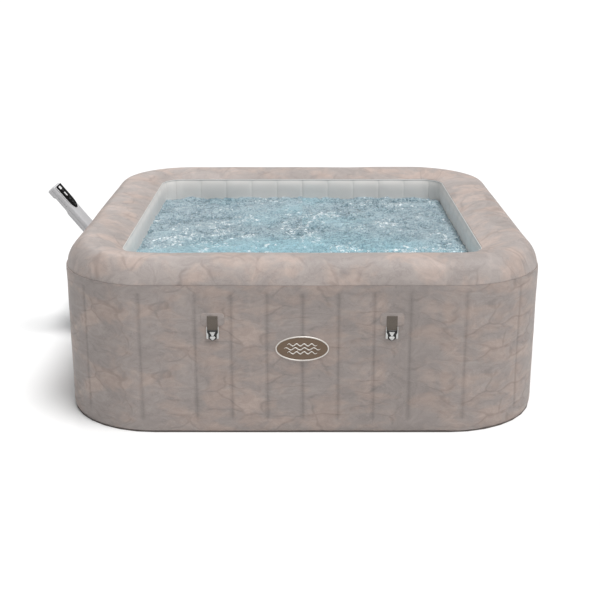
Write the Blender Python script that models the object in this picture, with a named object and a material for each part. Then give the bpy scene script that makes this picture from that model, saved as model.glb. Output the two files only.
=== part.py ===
# A square inflatable hot tub with its pump unit, in metres, +Z up.
# The origin is the centre of the tub's underside, the front faces -Y and the pump stands on the -X side.
import math

import bmesh
import bpy
from mathutils import Matrix, Vector

# Tub
TUB_HALF = 0.900
WALL_HALF = 0.897
CORNER_RADIUS = 0.36
CORNER_STEPS = 8
SEAM_Z = 0.5635
RIM_TOP_Z = 0.6527
RIM_CREST_HALF = 0.822
RIM_ROUND_HEIGHT = 0.118
LINER_HALF = 0.677
LINER_TOP_Z = 0.621
LINER_CORNER_RADIUS = 0.10
SKIN = 0.002
GAP = 0.0005
FLOOR_Z = 0.0024
BAFFLE_OFFSETS = (0.0, 0.128, 0.256, 0.385, 0.584)
CORNER_BAFFLE_TURNS = (22.5, 45.0, 67.5)
BAFFLE_THICKNESS = 0.001

# Clips and badge on the wall
CLIP_OFFSET = 0.32
CLIP_TOP_Z = 0.452
STRAP_WIDTH = 0.038
STRAP_LENGTH = 0.0543
STRAP_THICKNESS = 0.0014
STRAP_STAND_OFF = 0.0027
BADGE_Z = 0.329
BADGE_SEMI = (0.097, 0.048)

# Ports through the wall, as (y, z)
INLET_PORT = (0.192, 0.16)
OUTLET_PORT = (0.4845, 0.16)
AIR_PORT = (0.3205, 0.30)
PORTS = (("inlet", INLET_PORT), ("outlet", OUTLET_PORT), ("air", AIR_PORT))
PIPE_RADIUS = 0.025
PIPE_BORE = 0.022
PIPE_END_X = -0.9145
AIR_VALVE = (-0.064, 0.42)
VALVE_RADIUS = 0.014
DRAIN = (-0.192, 0.062)
DRAIN_RADIUS = 0.018

# Pump unit
PUMP_INNER_X = -0.925
PUMP_OUTER_X = -1.075
PUMP_TOP_X = -0.985
PUMP_Y = (0.085, 0.64)
PUMP_BASE_Z = 0.012
PUMP_SPLIT_Z = 0.10
PUMP_SHOULDER_Z = 0.29
PUMP_TOP_Z = 0.43
PUMP_FEET = ((-0.955, 0.20), (-1.035, 0.24), (-1.035, 0.58), (-0.955, 0.60))
CASING = 0.003

# Control arm
ARM_BASE = Vector((-0.950, 0.175, 0.4305))
ARM_LEAN = math.radians(38.65)
ARM_STUB = 0.037
ARM_BEND_RADIUS = 0.06
ARM_STRAIGHT = 0.2357
ARM_HALF_WIDTH = 0.0525
ARM_HALF_DEPTH = 0.0212
PANEL_START = 0.006
PANEL_LENGTH = 0.1305
PANEL_HALF_WIDTH = 0.0465
PANEL_THICKNESS = 0.003
KEY_TRAVEL_SPACE = 0.0012

# Each key of the panel: name, distance from the panel's top, length, width
KEYS = (
    ("key_timer", 0.0305, 0.008, 0.016),
    ("key_select", 0.0515, 0.022, 0.013),
    ("key_heater", 0.079, 0.010, 0.020),
    ("key_filter", 0.097, 0.010, 0.018),
    ("key_bubbles", 0.113, 0.009, 0.014),
)

# Each clip: name, side as quarter turns from the front, offset along the side
CLIPS = (
    ("front_left", 0, -CLIP_OFFSET),
    ("front_right", 0, CLIP_OFFSET),
    ("right_front", 1, -CLIP_OFFSET),
    ("right_back", 1, CLIP_OFFSET),
    ("back_right", 2, -CLIP_OFFSET),
    ("back_left", 2, CLIP_OFFSET),
    ("left_front", 3, CLIP_OFFSET),
)


def clear_scene():
    for obj in list(bpy.data.objects):
        bpy.data.objects.remove(obj)


def material(name, colour, roughness, metallic=0.0):
    """A plain Principled material, made once."""
    found = bpy.data.materials.get(name)
    if found:
        return found
    made = bpy.data.materials.new(name)
    made.use_nodes = True
    shader = made.node_tree.nodes["Principled BSDF"]
    shader.inputs["Base Color"].default_value = (*colour, 1.0)
    shader.inputs["Roughness"].default_value = roughness
    shader.inputs["Metallic"].default_value = metallic
    return made


def stone_vinyl():
    return material("stone_vinyl", (0.36, 0.30, 0.27), 0.5)


def grey_vinyl():
    return material("grey_vinyl", (0.42, 0.42, 0.42), 0.4)


def dark_vinyl():
    return material("dark_vinyl", (0.12, 0.10, 0.09), 0.5)


def webbing():
    return material("webbing", (0.13, 0.11, 0.09), 0.85)


def clip_plastic():
    return material("clip_plastic", (0.5, 0.5, 0.5), 0.4)


def badge_brown():
    return material("badge_brown", (0.16, 0.11, 0.08), 0.4)


def badge_silver():
    return material("badge_silver", (0.6, 0.58, 0.56), 0.3, 0.6)


def grey_plastic():
    return material("grey_plastic", (0.52, 0.52, 0.53), 0.35)


def dark_plastic():
    return material("dark_plastic", (0.03, 0.03, 0.03), 0.4)


def panel_gloss():
    return material("panel_gloss", (0.005, 0.005, 0.006), 0.1)


def display_white():
    return material("display_white", (0.9, 0.9, 0.9), 0.3)


def key_grey():
    return material("key_grey", (0.06, 0.06, 0.06), 0.4)


def steel():
    return material("steel", (0.55, 0.55, 0.55), 0.3, 1.0)


def rubber():
    return material("rubber", (0.03, 0.03, 0.03), 0.8)


def filter_paper():
    return material("filter_paper", (0.8, 0.82, 0.85), 0.9)


def circuit_board():
    return material("circuit_board", (0.03, 0.16, 0.07), 0.5)


def make_object(name, bm, finish):
    """Turns a bmesh into a named object with its faces pointing out."""
    bmesh.ops.recalc_face_normals(bm, faces=bm.faces)
    mesh = bpy.data.meshes.new(name)
    bm.to_mesh(mesh)
    bm.free()
    mesh.materials.append(finish)
    mesh.shade_smooth()
    mesh.set_sharp_from_angle(angle=math.radians(35))
    obj = bpy.data.objects.new(name, mesh)
    bpy.context.scene.collection.objects.link(obj)
    return obj


def empty(name, location, rotation=None):
    pivot = bpy.data.objects.new(name, None)
    pivot.location = location
    if rotation:
        pivot.rotation_euler = rotation
    bpy.context.scene.collection.objects.link(pivot)
    return pivot


def aim(obj, location, along):
    """Puts a solid that was made along its own +Z at a place, pointing along a direction."""
    obj.location = location
    obj.rotation_euler = Vector(along).to_track_quat("Z", "Y").to_euler()
    return obj


def cut(obj, cutter, operation="DIFFERENCE"):
    """Takes the cutter's shape out of the object, or joins it on."""
    cutter.hide_render = True
    cutter.display_type = "WIRE"
    step = obj.modifiers.new("cut_" + cutter.name, "BOOLEAN")
    step.operation = operation
    step.object = cutter


def add_loft(bm, rings, wrap=False):
    """Joins each ring of points to the next. A wrapped loft closes on its first ring."""
    loops = [[bm.verts.new(point) for point in ring] for ring in rings]
    following = loops[1:] + (loops[:1] if wrap else [])
    for near, far in zip(loops, following):
        for i in range(len(near)):
            j = (i + 1) % len(near)
            bm.faces.new((near[i], near[j], far[j], far[i]))
    if not wrap:
        bm.faces.new(reversed(loops[0]))
        bm.faces.new(loops[-1])


def add_box(bm, low, high):
    low, high = Vector(low), Vector(high)
    size = Matrix.Diagonal((*(high - low), 1.0))
    bmesh.ops.create_cube(bm, size=1.0, matrix=Matrix.Translation((low + high) / 2) @ size)


def circle(radius, z, sides, scallop=0.0):
    """A ring about Z. With a scallop, every other point is that much nearer to the axis."""
    points = []
    for i in range(sides):
        turn = 2 * math.pi * i / sides
        reach = radius - scallop * (i % 2)
        points.append((reach * math.cos(turn), reach * math.sin(turn), z))
    return points


def turned(name, profile, finish, sides=16, wrap=False):
    """A solid turned about Z from a profile of (radius, z) or (radius, z, scallop)."""
    bm = bmesh.new()
    rings = [circle(step[0], step[1], sides, *step[2:]) for step in profile]
    add_loft(bm, rings, wrap)
    return make_object(name, bm, finish)


def rounded_rectangle(low, high, radii, z, steps):
    """A rectangle from low to high with a radius at each corner: +X+Y, -X+Y, -X-Y, +X-Y."""
    corners = ((high[0], high[1]), (low[0], high[1]), (low[0], low[1]), (high[0], low[1]))
    signs = ((-1, -1), (1, -1), (1, 1), (-1, 1))
    points = []
    for quarter in range(4):
        radius = radii[quarter]
        centre_x = corners[quarter][0] + signs[quarter][0] * radius
        centre_y = corners[quarter][1] + signs[quarter][1] * radius
        for i in range(steps + 1):
            turn = (quarter + i / steps) * math.pi / 2
            points.append((centre_x + radius * math.cos(turn), centre_y + radius * math.sin(turn), z))
    return points


def corner_radius(half):
    """A corner's radius at a half-width: concentric in to the rim's crest, then closing to the liner's."""
    if half >= RIM_CREST_HALF:
        return CORNER_RADIUS - (TUB_HALF - half)
    crest_radius = CORNER_RADIUS - (TUB_HALF - RIM_CREST_HALF)
    share = (RIM_CREST_HALF - half) / (RIM_CREST_HALF - LINER_HALF)
    return crest_radius + (LINER_CORNER_RADIUS - crest_radius) * share


def tub_outline(half, z):
    """The tub's plan at a half-width."""
    radii = (corner_radius(half),) * 4
    return rounded_rectangle((-half, -half), (half, half), radii, z, CORNER_STEPS)


def tub_band(name, profile, finish):
    """A closed band round the tub from a closed profile of (half-width, z)."""
    bm = bmesh.new()
    add_loft(bm, [tub_outline(half, z) for half, z in profile], wrap=True)
    return make_object(name, bm, finish)


def tub_sheet(name, half, low_z, finish):
    bm = bmesh.new()
    add_loft(bm, [tub_outline(half, low_z), tub_outline(half, low_z + SKIN)])
    return make_object(name, bm, finish)


def bore_cutter(name, port, radius, start_x, end_x):
    """A cylinder along X at a port of (y, z)."""
    made = turned(name, ((radius, 0.0), (radius, end_x - start_x)), dark_plastic())
    return aim(made, (start_x, *port), (1, 0, 0))


def cut_wall_bores(obj, label):
    """Holes through a sheet beside the outer wall for everything that passes it."""
    bores = (
        ("inlet", INLET_PORT, PIPE_RADIUS),
        ("outlet", OUTLET_PORT, PIPE_RADIUS),
        ("air", AIR_PORT, PIPE_RADIUS),
        ("valve", AIR_VALVE, VALVE_RADIUS),
        ("drain", DRAIN, DRAIN_RADIUS),
    )
    for bore, port, radius in bores:
        name = f"{label}_bore_{bore}"
        cut(obj, bore_cutter(name, port, radius + GAP, -WALL_HALF - 0.01, -WALL_HALF + 0.02))


def make_outer_wall():
    inner = WALL_HALF - SKIN
    low = FLOOR_Z
    profile = ((WALL_HALF, low), (WALL_HALF, SEAM_Z), (inner, SEAM_Z), (inner, low))
    cut_wall_bores(tub_band("outer_wall", profile, stone_vinyl()), "wall")


def rim_profile(inset):
    """The rim's section from the seam over the crest to the liner, moved in by an inset."""
    centre_z = RIM_TOP_Z - RIM_ROUND_HEIGHT
    width = TUB_HALF - RIM_CREST_HALF
    start = math.asin((SEAM_Z + GAP - centre_z) / (RIM_ROUND_HEIGHT - inset))
    points = []
    for i in range(7):
        turn = start + (math.pi / 2 - start) * i / 6
        half = RIM_CREST_HALF + (width - inset) * math.cos(turn)
        points.append((half, centre_z + (RIM_ROUND_HEIGHT - inset) * math.sin(turn)))
    inner_half = LINER_HALF + SKIN + GAP
    for share in (0.4, 0.7, 1.0):
        half = RIM_CREST_HALF + (inner_half - RIM_CREST_HALF) * share
        fall = (RIM_TOP_Z - LINER_TOP_Z) * share**2
        points.append((half, RIM_TOP_Z - inset - fall))
    return points


def make_top_ring():
    tub_band("top_ring", rim_profile(0.0) + rim_profile(SKIN)[::-1], stone_vinyl())


def make_liner():
    outer = LINER_HALF + SKIN
    top = LINER_TOP_Z
    profile = ((outer, FLOOR_Z), (outer, top), (LINER_HALF, top), (LINER_HALF, FLOOR_Z))
    wall = tub_band("inner_wall", profile, grey_vinyl())
    holes = (
        ("inlet", INLET_PORT, PIPE_RADIUS),
        ("outlet", OUTLET_PORT, PIPE_RADIUS),
        ("drain", DRAIN, DRAIN_RADIUS),
        ("hose", (AIR_PORT[0], 0.0195), 0.012),
    )
    reach = 0.02
    for label, port, radius in holes:
        name = "liner_bore_" + label
        cut(wall, bore_cutter(name, port, radius + GAP, -LINER_HALF - reach, -LINER_HALF + reach))
    tub_sheet("basin_floor", LINER_HALF - GAP, FLOOR_Z, grey_vinyl())
    tub_sheet("ground_sheet", WALL_HALF, 0.0, dark_vinyl())


def make_base_band():
    outer = WALL_HALF + 0.0015
    inner = WALL_HALF + 0.0004
    tub_band("base_weld_band", ((outer, 0.001), (outer, 0.016), (inner, 0.016), (inner, 0.001)), dark_vinyl())


def make_bubble_channel():
    """An upturned gutter round the basin floor that spreads the blower's air."""
    outer = LINER_HALF - 0.0045
    inner = outer - 0.050
    foot, skin = 0.0068, 0.002
    shoulder, crown = 0.030, 0.038
    middle = (outer + inner) / 2
    outside = [(outer, foot), (outer, shoulder), (middle, crown), (inner, shoulder), (inner, foot)]
    inside = [(inner + skin, foot), (inner + skin, shoulder), (middle, crown - skin)]
    inside += [(outer - skin, shoulder), (outer - skin, foot)]
    tub_band("bubble_channel", outside + inside, grey_vinyl())


def side_reach(half, x):
    """How far a side is from the middle at an offset along it, on to the corner's first facet."""
    into = max(abs(x) - (half - corner_radius(half)), 0.0)
    return half - into * math.tan(math.pi / 4 / CORNER_STEPS)


def liner_reach(centre, along):
    """How far the gap outside the liner's corner is from a point, in a direction."""
    near = LINER_HALF + SKIN + GAP
    radius = corner_radius(near)
    to_middle = Vector((near - radius, radius - near)) - centre
    beside = along.dot(to_middle)
    return beside + math.sqrt(radius**2 - to_middle.length_squared + beside**2)


def baffle_side():
    """One side and the corner after it of the baffle sheet, as pairs of a back and a front point.

    The back follows the wall, and at each weld line the front reaches in to the liner.
    """
    back = WALL_HALF - SKIN - GAP
    front = back - BAFFLE_THICKNESS
    near = LINER_HALF + SKIN + GAP
    thick = BAFFLE_THICKNESS / 2
    corners = ((-thick, front, 3.0), (-thick, near, 0.5), (thick, near, 0.5), (thick, front, 3.0))
    pairs = []
    for offset in sorted({sign * offset for offset in BAFFLE_OFFSETS for sign in (1, -1)}):
        for x, half, spread in corners:
            outer_x = offset + x * spread
            inner_x = offset + x
            pairs.append(((outer_x, -side_reach(back, outer_x)), (inner_x, -side_reach(half, inner_x))))
    flat = TUB_HALF - CORNER_RADIUS
    centre = Vector((flat, -flat))
    for angle in CORNER_BAFFLE_TURNS:
        turn = math.radians(angle)
        along = Vector((math.sin(turn), -math.cos(turn)))
        across = Vector((math.cos(turn), math.sin(turn)))
        inward = liner_reach(centre, along)
        for x, half, spread in corners:
            outer = centre + along * (back - flat) + across * x * spread
            reach = inward if half == near else half - flat
            pairs.append((outer, centre + along * reach + across * x))
    return pairs


def make_baffles():
    """The sheets in the air chamber that tie the outer wall to the liner, on one strip along the wall."""
    low_z, high_z = 0.03, 0.54
    backs, fronts = [], []
    for quarter in range(4):
        turn = Matrix.Rotation(quarter * math.pi / 2, 3, "Z")
        for back, front in baffle_side():
            backs.append(turn @ Vector((*back, 0.0)))
            fronts.append(turn @ Vector((*front, 0.0)))
    rings = []
    for points, z in ((backs, low_z), (backs, high_z), (fronts, high_z), (fronts, low_z)):
        rings.append([(point.x, point.y, z) for point in points])
    bm = bmesh.new()
    add_loft(bm, rings, wrap=True)
    cut_wall_bores(make_object("wall_baffles", bm, dark_vinyl()), "baffle")


def on_side(quarter, offset, stand_off, z):
    """A point on the wall's outer face: offset along the side, stand_off out from it."""
    return Matrix.Rotation(quarter * math.pi / 2, 4, "Z") @ Vector((offset, -WALL_HALF - stand_off, z))


def buckle_outline():
    """The buckle's front outline as (x, z) below the strap's hinge line, open at the top for the strap."""
    half, slot_half, arm_top, slot_z = 0.0225, 0.0196, -0.039, -0.0548
    left = [(0.0, -0.0925), (-0.008, -0.0895), (-0.0135, -0.0845), (-0.020, -0.0835), (-half, -0.080)]
    left += [(-half, arm_top - 0.002), (-0.0212, arm_top), (-slot_half, arm_top), (-slot_half, slot_z)]
    right = [(-x, z) for x, z in left[:0:-1]]
    return left + right


def make_clip(label, quarter, offset):
    """A webbing strap and its buckle, hung from the strap's top edge."""
    turn = quarter * math.pi / 2
    hinge = empty("hinge_" + label, on_side(quarter, offset, STRAP_STAND_OFF, CLIP_TOP_Z), (0, 0, turn))
    bm = bmesh.new()
    half_x, half_y = STRAP_WIDTH / 2, STRAP_THICKNESS / 2
    add_box(bm, (-half_x, -half_y, -STRAP_LENGTH), (half_x, half_y, 0))
    strap = make_object("strap_" + label, bm, webbing())
    strap.parent = hinge
    bm = bmesh.new()
    front, back = -0.0085, STRAP_THICKNESS / 2
    add_loft(bm, [[(x, y, z) for x, z in buckle_outline()] for y in (back, front)])
    buckle = make_object("buckle_" + label, bm, clip_plastic())
    buckle.parent = hinge


def ellipse(semi_x, semi_z, stand_off, sides=32):
    points = []
    for i in range(sides):
        turn = 2 * math.pi * i / sides
        points.append(on_side(0, semi_x * math.cos(turn), stand_off, BADGE_Z + semi_z * math.sin(turn)))
    return points


def make_badge():
    semi_x, semi_z = BADGE_SEMI
    rim = 0.0035
    bm = bmesh.new()
    inset = rim + 0.0003
    add_loft(bm, [ellipse(semi_x - inset, semi_z - inset, depth) for depth in (0.0004, 0.0026)])
    make_object("badge_plate", bm, badge_brown())
    bm = bmesh.new()
    loop = ((0.0, 0.0004), (0.0, 0.0036), (rim, 0.0036), (rim, 0.0004))
    add_loft(bm, [ellipse(semi_x - inset, semi_z - inset, depth) for inset, depth in loop], wrap=True)
    make_object("badge_rim", bm, badge_silver())


def make_screw_port(body_name, cap_name, port, radius, depth):
    """A fitting through the wall with a screw cap outside, both turned about an axis along -X."""
    flange, neck = radius + 0.008, radius - 0.0015
    seat, flange_top, neck_top, cap_top = 0.0004, 0.003, 0.009, 0.013
    profile = ((radius, -depth), (radius, seat), (flange, seat), (flange, flange_top))
    profile += ((neck, flange_top), (neck, neck_top))
    aim(turned(body_name, profile, dark_plastic()), (-WALL_HALF, *port), (-1, 0, 0))
    cap_inner, cap_outer, grip = neck + GAP, radius + 0.0035, 0.0008
    low = flange_top + GAP
    profile = ((cap_inner, neck_top + GAP), (cap_inner, low))
    profile += ((cap_outer, low, grip), (cap_outer, cap_top, grip))
    aim(turned(cap_name, profile, dark_plastic(), sides=24), (-WALL_HALF, *port), (-1, 0, 0))


def make_wall_pipes():
    """The straight water pipes through the air chamber."""
    start_x = -LINER_HALF - GAP
    length = start_x - PIPE_END_X
    profile = ((PIPE_RADIUS, 0.0), (PIPE_RADIUS, length), (PIPE_BORE, length), (PIPE_BORE, 0.0))
    for name, port in (("inlet_pipe", INLET_PORT), ("outlet_pipe", OUTLET_PORT)):
        aim(turned(name, profile, dark_plastic(), wrap=True), (start_x, *port), (-1, 0, 0))


def make_air_hose():
    """The air pipe: in from the blower's port, down inside the chamber and out to the bubble channel."""
    y, top_z = AIR_PORT
    low_z, bend, thick = 0.0195, 0.04, 0.012
    drop_x, end_x = -0.79, -LINER_HALF + 0.0038
    sleeve_x, neck_x = -0.885, -0.875
    route = [(PIPE_END_X, top_z, 0.0, PIPE_RADIUS), (sleeve_x, top_z, 0.0, PIPE_RADIUS)]
    route.append((neck_x, top_z, 0.0, thick))
    for i in range(5):
        turn = i * math.pi / 8
        x = drop_x - bend + bend * math.sin(turn)
        route.append((x, top_z - bend + bend * math.cos(turn), turn, thick))
    for i in range(5):
        turn = math.pi / 2 - i * math.pi / 8
        x = drop_x + bend - bend * math.sin(turn)
        route.append((x, low_z + bend - bend * math.cos(turn), turn, thick))
    route.append((end_x, low_z, 0.0, thick))
    bm = bmesh.new()
    rings = []
    for x, z, turn, radius in route:
        ring = []
        for a, b, _ in circle(radius, 0.0, 12):
            ring.append((x + b * math.sin(turn), y + a, z + b * math.cos(turn)))
        rings.append(ring)
    add_loft(bm, rings)
    make_object("air_hose", bm, dark_plastic())


def make_filter():
    """The pleated filter in its housing on the basin's inlet, and the screen on its outlet."""
    outward = (1, 0, 0)
    base = (-LINER_HALF + GAP, *INLET_PORT)
    wall = 0.0025
    outer, length = 0.058, 0.085
    core = outer - wall
    profile = ((PIPE_BORE, 0), (outer, 0), (outer, length), (core, length), (core, wall), (PIPE_BORE, wall))
    aim(turned("filter_housing", profile, grey_plastic(), wrap=True), base, outward)
    crest, pleat, bore = 0.052, 0.007, 0.020
    low, high = 0.004, 0.081
    profile = ((crest, low, pleat), (crest, high, pleat), (bore, high), (bore, low))
    aim(turned("filter_cartridge", profile, filter_paper(), sides=40, wrap=True), base, outward)
    rim, face, grip = 0.060, 0.056, 0.003
    low, high = length + GAP, 0.094
    profile = ((rim, low, grip), (rim, high - 0.002, grip), (face, high, grip))
    aim(turned("filter_cover", profile, grey_plastic(), sides=24), base, outward)
    # a low dome of (radius, height)
    profile = ((0.045, 0.0), (0.045, 0.006), (0.038, 0.014), (0.020, 0.019))
    screen_base = (-LINER_HALF + GAP, *OUTLET_PORT)
    aim(turned("outlet_screen", profile, grey_plastic()), screen_base, outward)


def pump_section(z, inset=0.0):
    """The pump casing's plan at a height, moved in by an inset."""
    rise = max(0.0, (z - PUMP_SHOULDER_Z) / (PUMP_TOP_Z - PUMP_SHOULDER_Z))
    shrink = 1 - math.sqrt(max(0.0, 1 - min(rise, 1.0) ** 2))
    outer_x = PUMP_OUTER_X + (PUMP_TOP_X - PUMP_OUTER_X) * shrink
    depth = PUMP_INNER_X - outer_x
    front_radius = min(0.135, depth - 0.02)
    low = (outer_x + inset, PUMP_Y[0] + 0.018 * shrink + inset)
    high = (PUMP_INNER_X - inset, PUMP_Y[1] - 0.05 * shrink - inset)
    radii = [0.015 - inset, min(0.05, depth - 0.02) - inset, front_radius - inset, 0.015 - inset]
    return rounded_rectangle(low, high, radii, z, 4)


def at_height(ring, z):
    return [(x, y, z) for x, y, _ in ring]


def make_pump_casing():
    low, split = PUMP_BASE_Z, PUMP_SPLIT_Z
    chamfer_height, chamfer_inset = 0.008, 0.006
    bm = bmesh.new()
    rings = [at_height(pump_section(low, CASING), low + CASING), pump_section(split, CASING)]
    rings += [pump_section(split), pump_section(low + chamfer_height), pump_section(low, chamfer_inset)]
    add_loft(bm, rings)
    tray = make_object("pump_base_casing", bm, grey_plastic())
    foot_low, foot_high = 0.013, 0.014
    for number, place in enumerate(PUMP_FEET):
        profile = ((foot_low, 0.0), (foot_high, low + CASING / 2))
        foot = turned(f"foot_{number}", profile, rubber(), sides=12)
        foot.location = (*place, 0.0)
        cut(tray, foot, "UNION")
    heights = [split + GAP, PUMP_SHOULDER_Z]
    for i in range(1, 6):
        rise = math.sin(i * math.pi / 10)
        heights.append(PUMP_SHOULDER_Z + (PUMP_TOP_Z - PUMP_SHOULDER_Z) * rise)
    outer = [pump_section(z) for z in heights]
    inner = [pump_section(z, CASING) for z in heights]
    inner[-1] = at_height(inner[-1], PUMP_TOP_Z - CASING)
    bm = bmesh.new()
    add_loft(bm, inner[::-1] + outer)
    cover = make_object("pump_top_casing", bm, grey_plastic())
    reach = 0.01
    for label, port in PORTS:
        name = "casing_bore_" + label
        cut(cover, bore_cutter(name, port, PIPE_RADIUS + GAP, PUMP_INNER_X - reach, PUMP_INNER_X + reach))


def make_pump_ports():
    """The manifold that carries the pump's spigots, and the union nuts that hold them to the pipes."""
    plate_x = PUMP_INNER_X - CASING - GAP
    thick, margin = 0.004, 0.013
    low_y, high_y = INLET_PORT[0] - PIPE_RADIUS, OUTLET_PORT[0] + PIPE_RADIUS
    low_z, high_z = INLET_PORT[1] - PIPE_RADIUS, AIR_PORT[1] + PIPE_RADIUS
    bm = bmesh.new()
    low = (plate_x - thick, low_y - margin, low_z - margin)
    add_box(bm, low, (plate_x, high_y + margin, high_z + margin))
    manifold = make_object("port_manifold", bm, dark_plastic())
    spigot_ends = {"inlet": -0.9535, "outlet": -0.9735, "air": -0.9465}
    start_x = PIPE_END_X - GAP
    for label, port in PORTS:
        cut(manifold, bore_cutter("spigot_" + label, port, PIPE_RADIUS, spigot_ends[label], start_x), "UNION")
    reach = 0.01
    for label, port in PORTS:
        end_x = spigot_ends[label] - reach
        cut(manifold, bore_cutter("spigot_bore_" + label, port, PIPE_BORE, end_x, start_x + reach))
    grip, scallop, bore, length, stand_off = 0.036, 0.002, PIPE_RADIUS + 0.0006, 0.023, 0.0035
    profile = ((grip, 0.0, scallop), (grip, length, scallop), (bore, length), (bore, 0.0))
    for label, port in PORTS:
        nut = turned(label + "_nut", profile, dark_plastic(), sides=20, wrap=True)
        aim(nut, (-WALL_HALF - stand_off, *port), (-1, 0, 0))


def make_housing(name, place, radius, length, wall, eye):
    """A round pump or blower housing about X, with an eye in front and a shaft hole behind."""
    shaft_hole = 0.006
    inner_length = length - wall
    profile = ((eye, 0), (radius, 0), (radius, length), (shaft_hole, length), (shaft_hole, inner_length))
    profile += ((radius - wall, inner_length), (radius - wall, wall), (eye, wall))
    aim(turned(name, profile, dark_plastic(), sides=20, wrap=True), place, (-1, 0, 0))


def make_rotor(name, place, radius, length, shaft_length, vanes):
    """A vaned wheel on a shaft, both about X."""
    shaft = 0.004
    vane_depth = radius * 0.55
    profile = ((shaft, length + shaft_length), (shaft, length), (radius, length, vane_depth))
    profile += ((radius, 0.0, vane_depth),)
    aim(turned(name, profile, steel(), sides=vanes * 2), place, (-1, 0, 0))


def make_water_pump():
    """The circulation pump behind the inlet: its housing, vaned wheel and motor."""
    start_x, length, clearance = -0.9545, 0.040, 0.006
    make_housing("pump_volute", (start_x, *INLET_PORT), 0.042, length, CASING, 0.020)
    make_rotor("impeller", (start_x - clearance, *INLET_PORT), 0.034, 0.020, 0.018, 6)
    shaft_hole, outer, motor_length = 0.0065, 0.030, 0.045
    profile = ((shaft_hole, 0.0), (outer, 0.0), (outer, motor_length), (shaft_hole, motor_length))
    motor = turned("circulation_motor", profile, steel(), wrap=True)
    aim(motor, (start_x - length - GAP, *INLET_PORT), (-1, 0, 0))


def make_heater():
    start, length = (-0.999, 0.30, INLET_PORT[1]), 0.26
    end_radius, radius, taper = 0.020, 0.025, 0.006
    profile = ((end_radius, 0.0), (radius, taper), (radius, length - taper), (end_radius, length))
    aim(turned("heater_tube", profile, steel()), start, (0, 1, 0))


def make_blower():
    """The air blower: its scroll, fan and motor about one axis along X."""
    axis = (0.405, 0.30)
    scroll_x, fan_x, motor_x = -0.988, -0.994, -0.950
    make_housing("blower_scroll", (scroll_x, *axis), 0.062, 0.056, CASING, 0.030)
    make_rotor("blower_fan", (fan_x, *axis), 0.052, 0.040, 0.014, 10)
    radius, length = 0.024, 0.034
    aim(turned("blower_motor", ((radius, 0.0), (radius, length)), steel()), (motor_x, *axis), (-1, 0, 0))


def make_board_and_gland():
    bm = bmesh.new()
    add_box(bm, (-0.936, 0.50, 0.21), (-0.9344, 0.60, 0.29))
    make_object("control_board", bm, circuit_board())
    outer, neck, bore, shoulder, length = 0.012, 0.0095, 0.004, 0.008, 0.014
    profile = ((outer, 0.0), (outer, shoulder), (neck, length), (bore, length), (bore, 0.0))
    gland = turned("cord_inlet", profile, rubber(), wrap=True)
    aim(gland, (-1.0, PUMP_Y[1] + 0.0004, 0.06), (0, 1, 0))


def arm_point(along, across, above):
    """A point in the frame of the arm's head: along the mid-line from its end, across it and above it."""
    if along <= ARM_STRAIGHT:
        return (across, -along, above)
    turn = min((along - ARM_STRAIGHT) / ARM_BEND_RADIUS, ARM_LEAN)
    rest = along - ARM_STRAIGHT - turn * ARM_BEND_RADIUS
    reach = ARM_BEND_RADIUS + above
    y = -ARM_STRAIGHT - reach * math.sin(turn) - rest * math.cos(turn)
    z = -ARM_BEND_RADIUS + reach * math.cos(turn) - rest * math.sin(turn)
    return (across, y, z)


def arm_stations():
    """Distances down the arm where its section is drawn."""
    bend = [ARM_STRAIGHT + ARM_BEND_RADIUS * ARM_LEAN * i / 4 for i in range(5)]
    return [0.0, 0.005, 0.036, 0.048, 0.114, 0.134] + bend + [bend[-1] + ARM_STUB]


def arm_depth(along, above):
    """The half depth there: a shallow finger hollow underneath, and a rounded end at the head."""
    depth = ARM_HALF_DEPTH
    if not above and 0.04 < along < 0.12:
        depth -= 0.004
    if along == 0.0:
        depth -= 0.004
    return depth


def arm_half(name, above, core_depth):
    """Half of the arm's shell, split along its mid-line, hollow inside."""
    sign = 1 if above else -1
    rings = []
    for along in arm_stations():
        depth = arm_depth(along, above)
        half = ARM_HALF_WIDTH - (0.004 if along == 0.0 else 0.0)
        section = [(-half, 0.0002), (-half, depth - 0.005)]
        section += [(-half + 0.0015, depth - 0.0015), (-half + 0.005, depth)]
        section += [(-x, n) for x, n in section[::-1]]
        rings.append([arm_point(along, x, sign * n) for x, n in section])
    bm = bmesh.new()
    add_loft(bm, rings)
    shell = make_object(name, bm, grey_plastic())
    core_half = ARM_HALF_WIDTH - CASING
    rings = []
    # the core starts inside the head's end and runs out through the foot
    # the core starts inside the head's end and runs out through the foot
    stations = arm_stations()[2:]
    stations[0] = 0.010
    stations[-1] += 0.004
    low = -0.001
    for along in stations:
        section = ((-core_half, low), (-core_half, core_depth), (core_half, core_depth), (core_half, low))
        rings.append([arm_point(along, x, sign * n) for x, n in section])
    bm = bmesh.new()
    add_loft(bm, rings)
    core = make_object(name + "_core", bm, grey_plastic())
    cut(shell, core)
    return shell, core


def panel_outline(inset, low, high):
    """The panel's plan, square at the top, straight sides and a bullet tip, as two rings from low to high."""
    half = PANEL_HALF_WIDTH - inset
    straight = 0.085
    start = PANEL_START + inset
    tip = PANEL_START + PANEL_LENGTH - inset
    plan = [(half, start + 0.003), (half - 0.003, start), (-half + 0.003, start), (-half, start + 0.003)]
    side = []
    for i in range(7):
        share = i / 7
        side.append((half * math.sqrt(1 - share**2.2), straight + (tip - straight) * share))
    plan += [(-x, s) for x, s in side]
    plan += [(0.0, tip)]
    plan += side[::-1]
    return [[(x, -s, n) for x, s in plan] for n in (low, high)]


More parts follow.
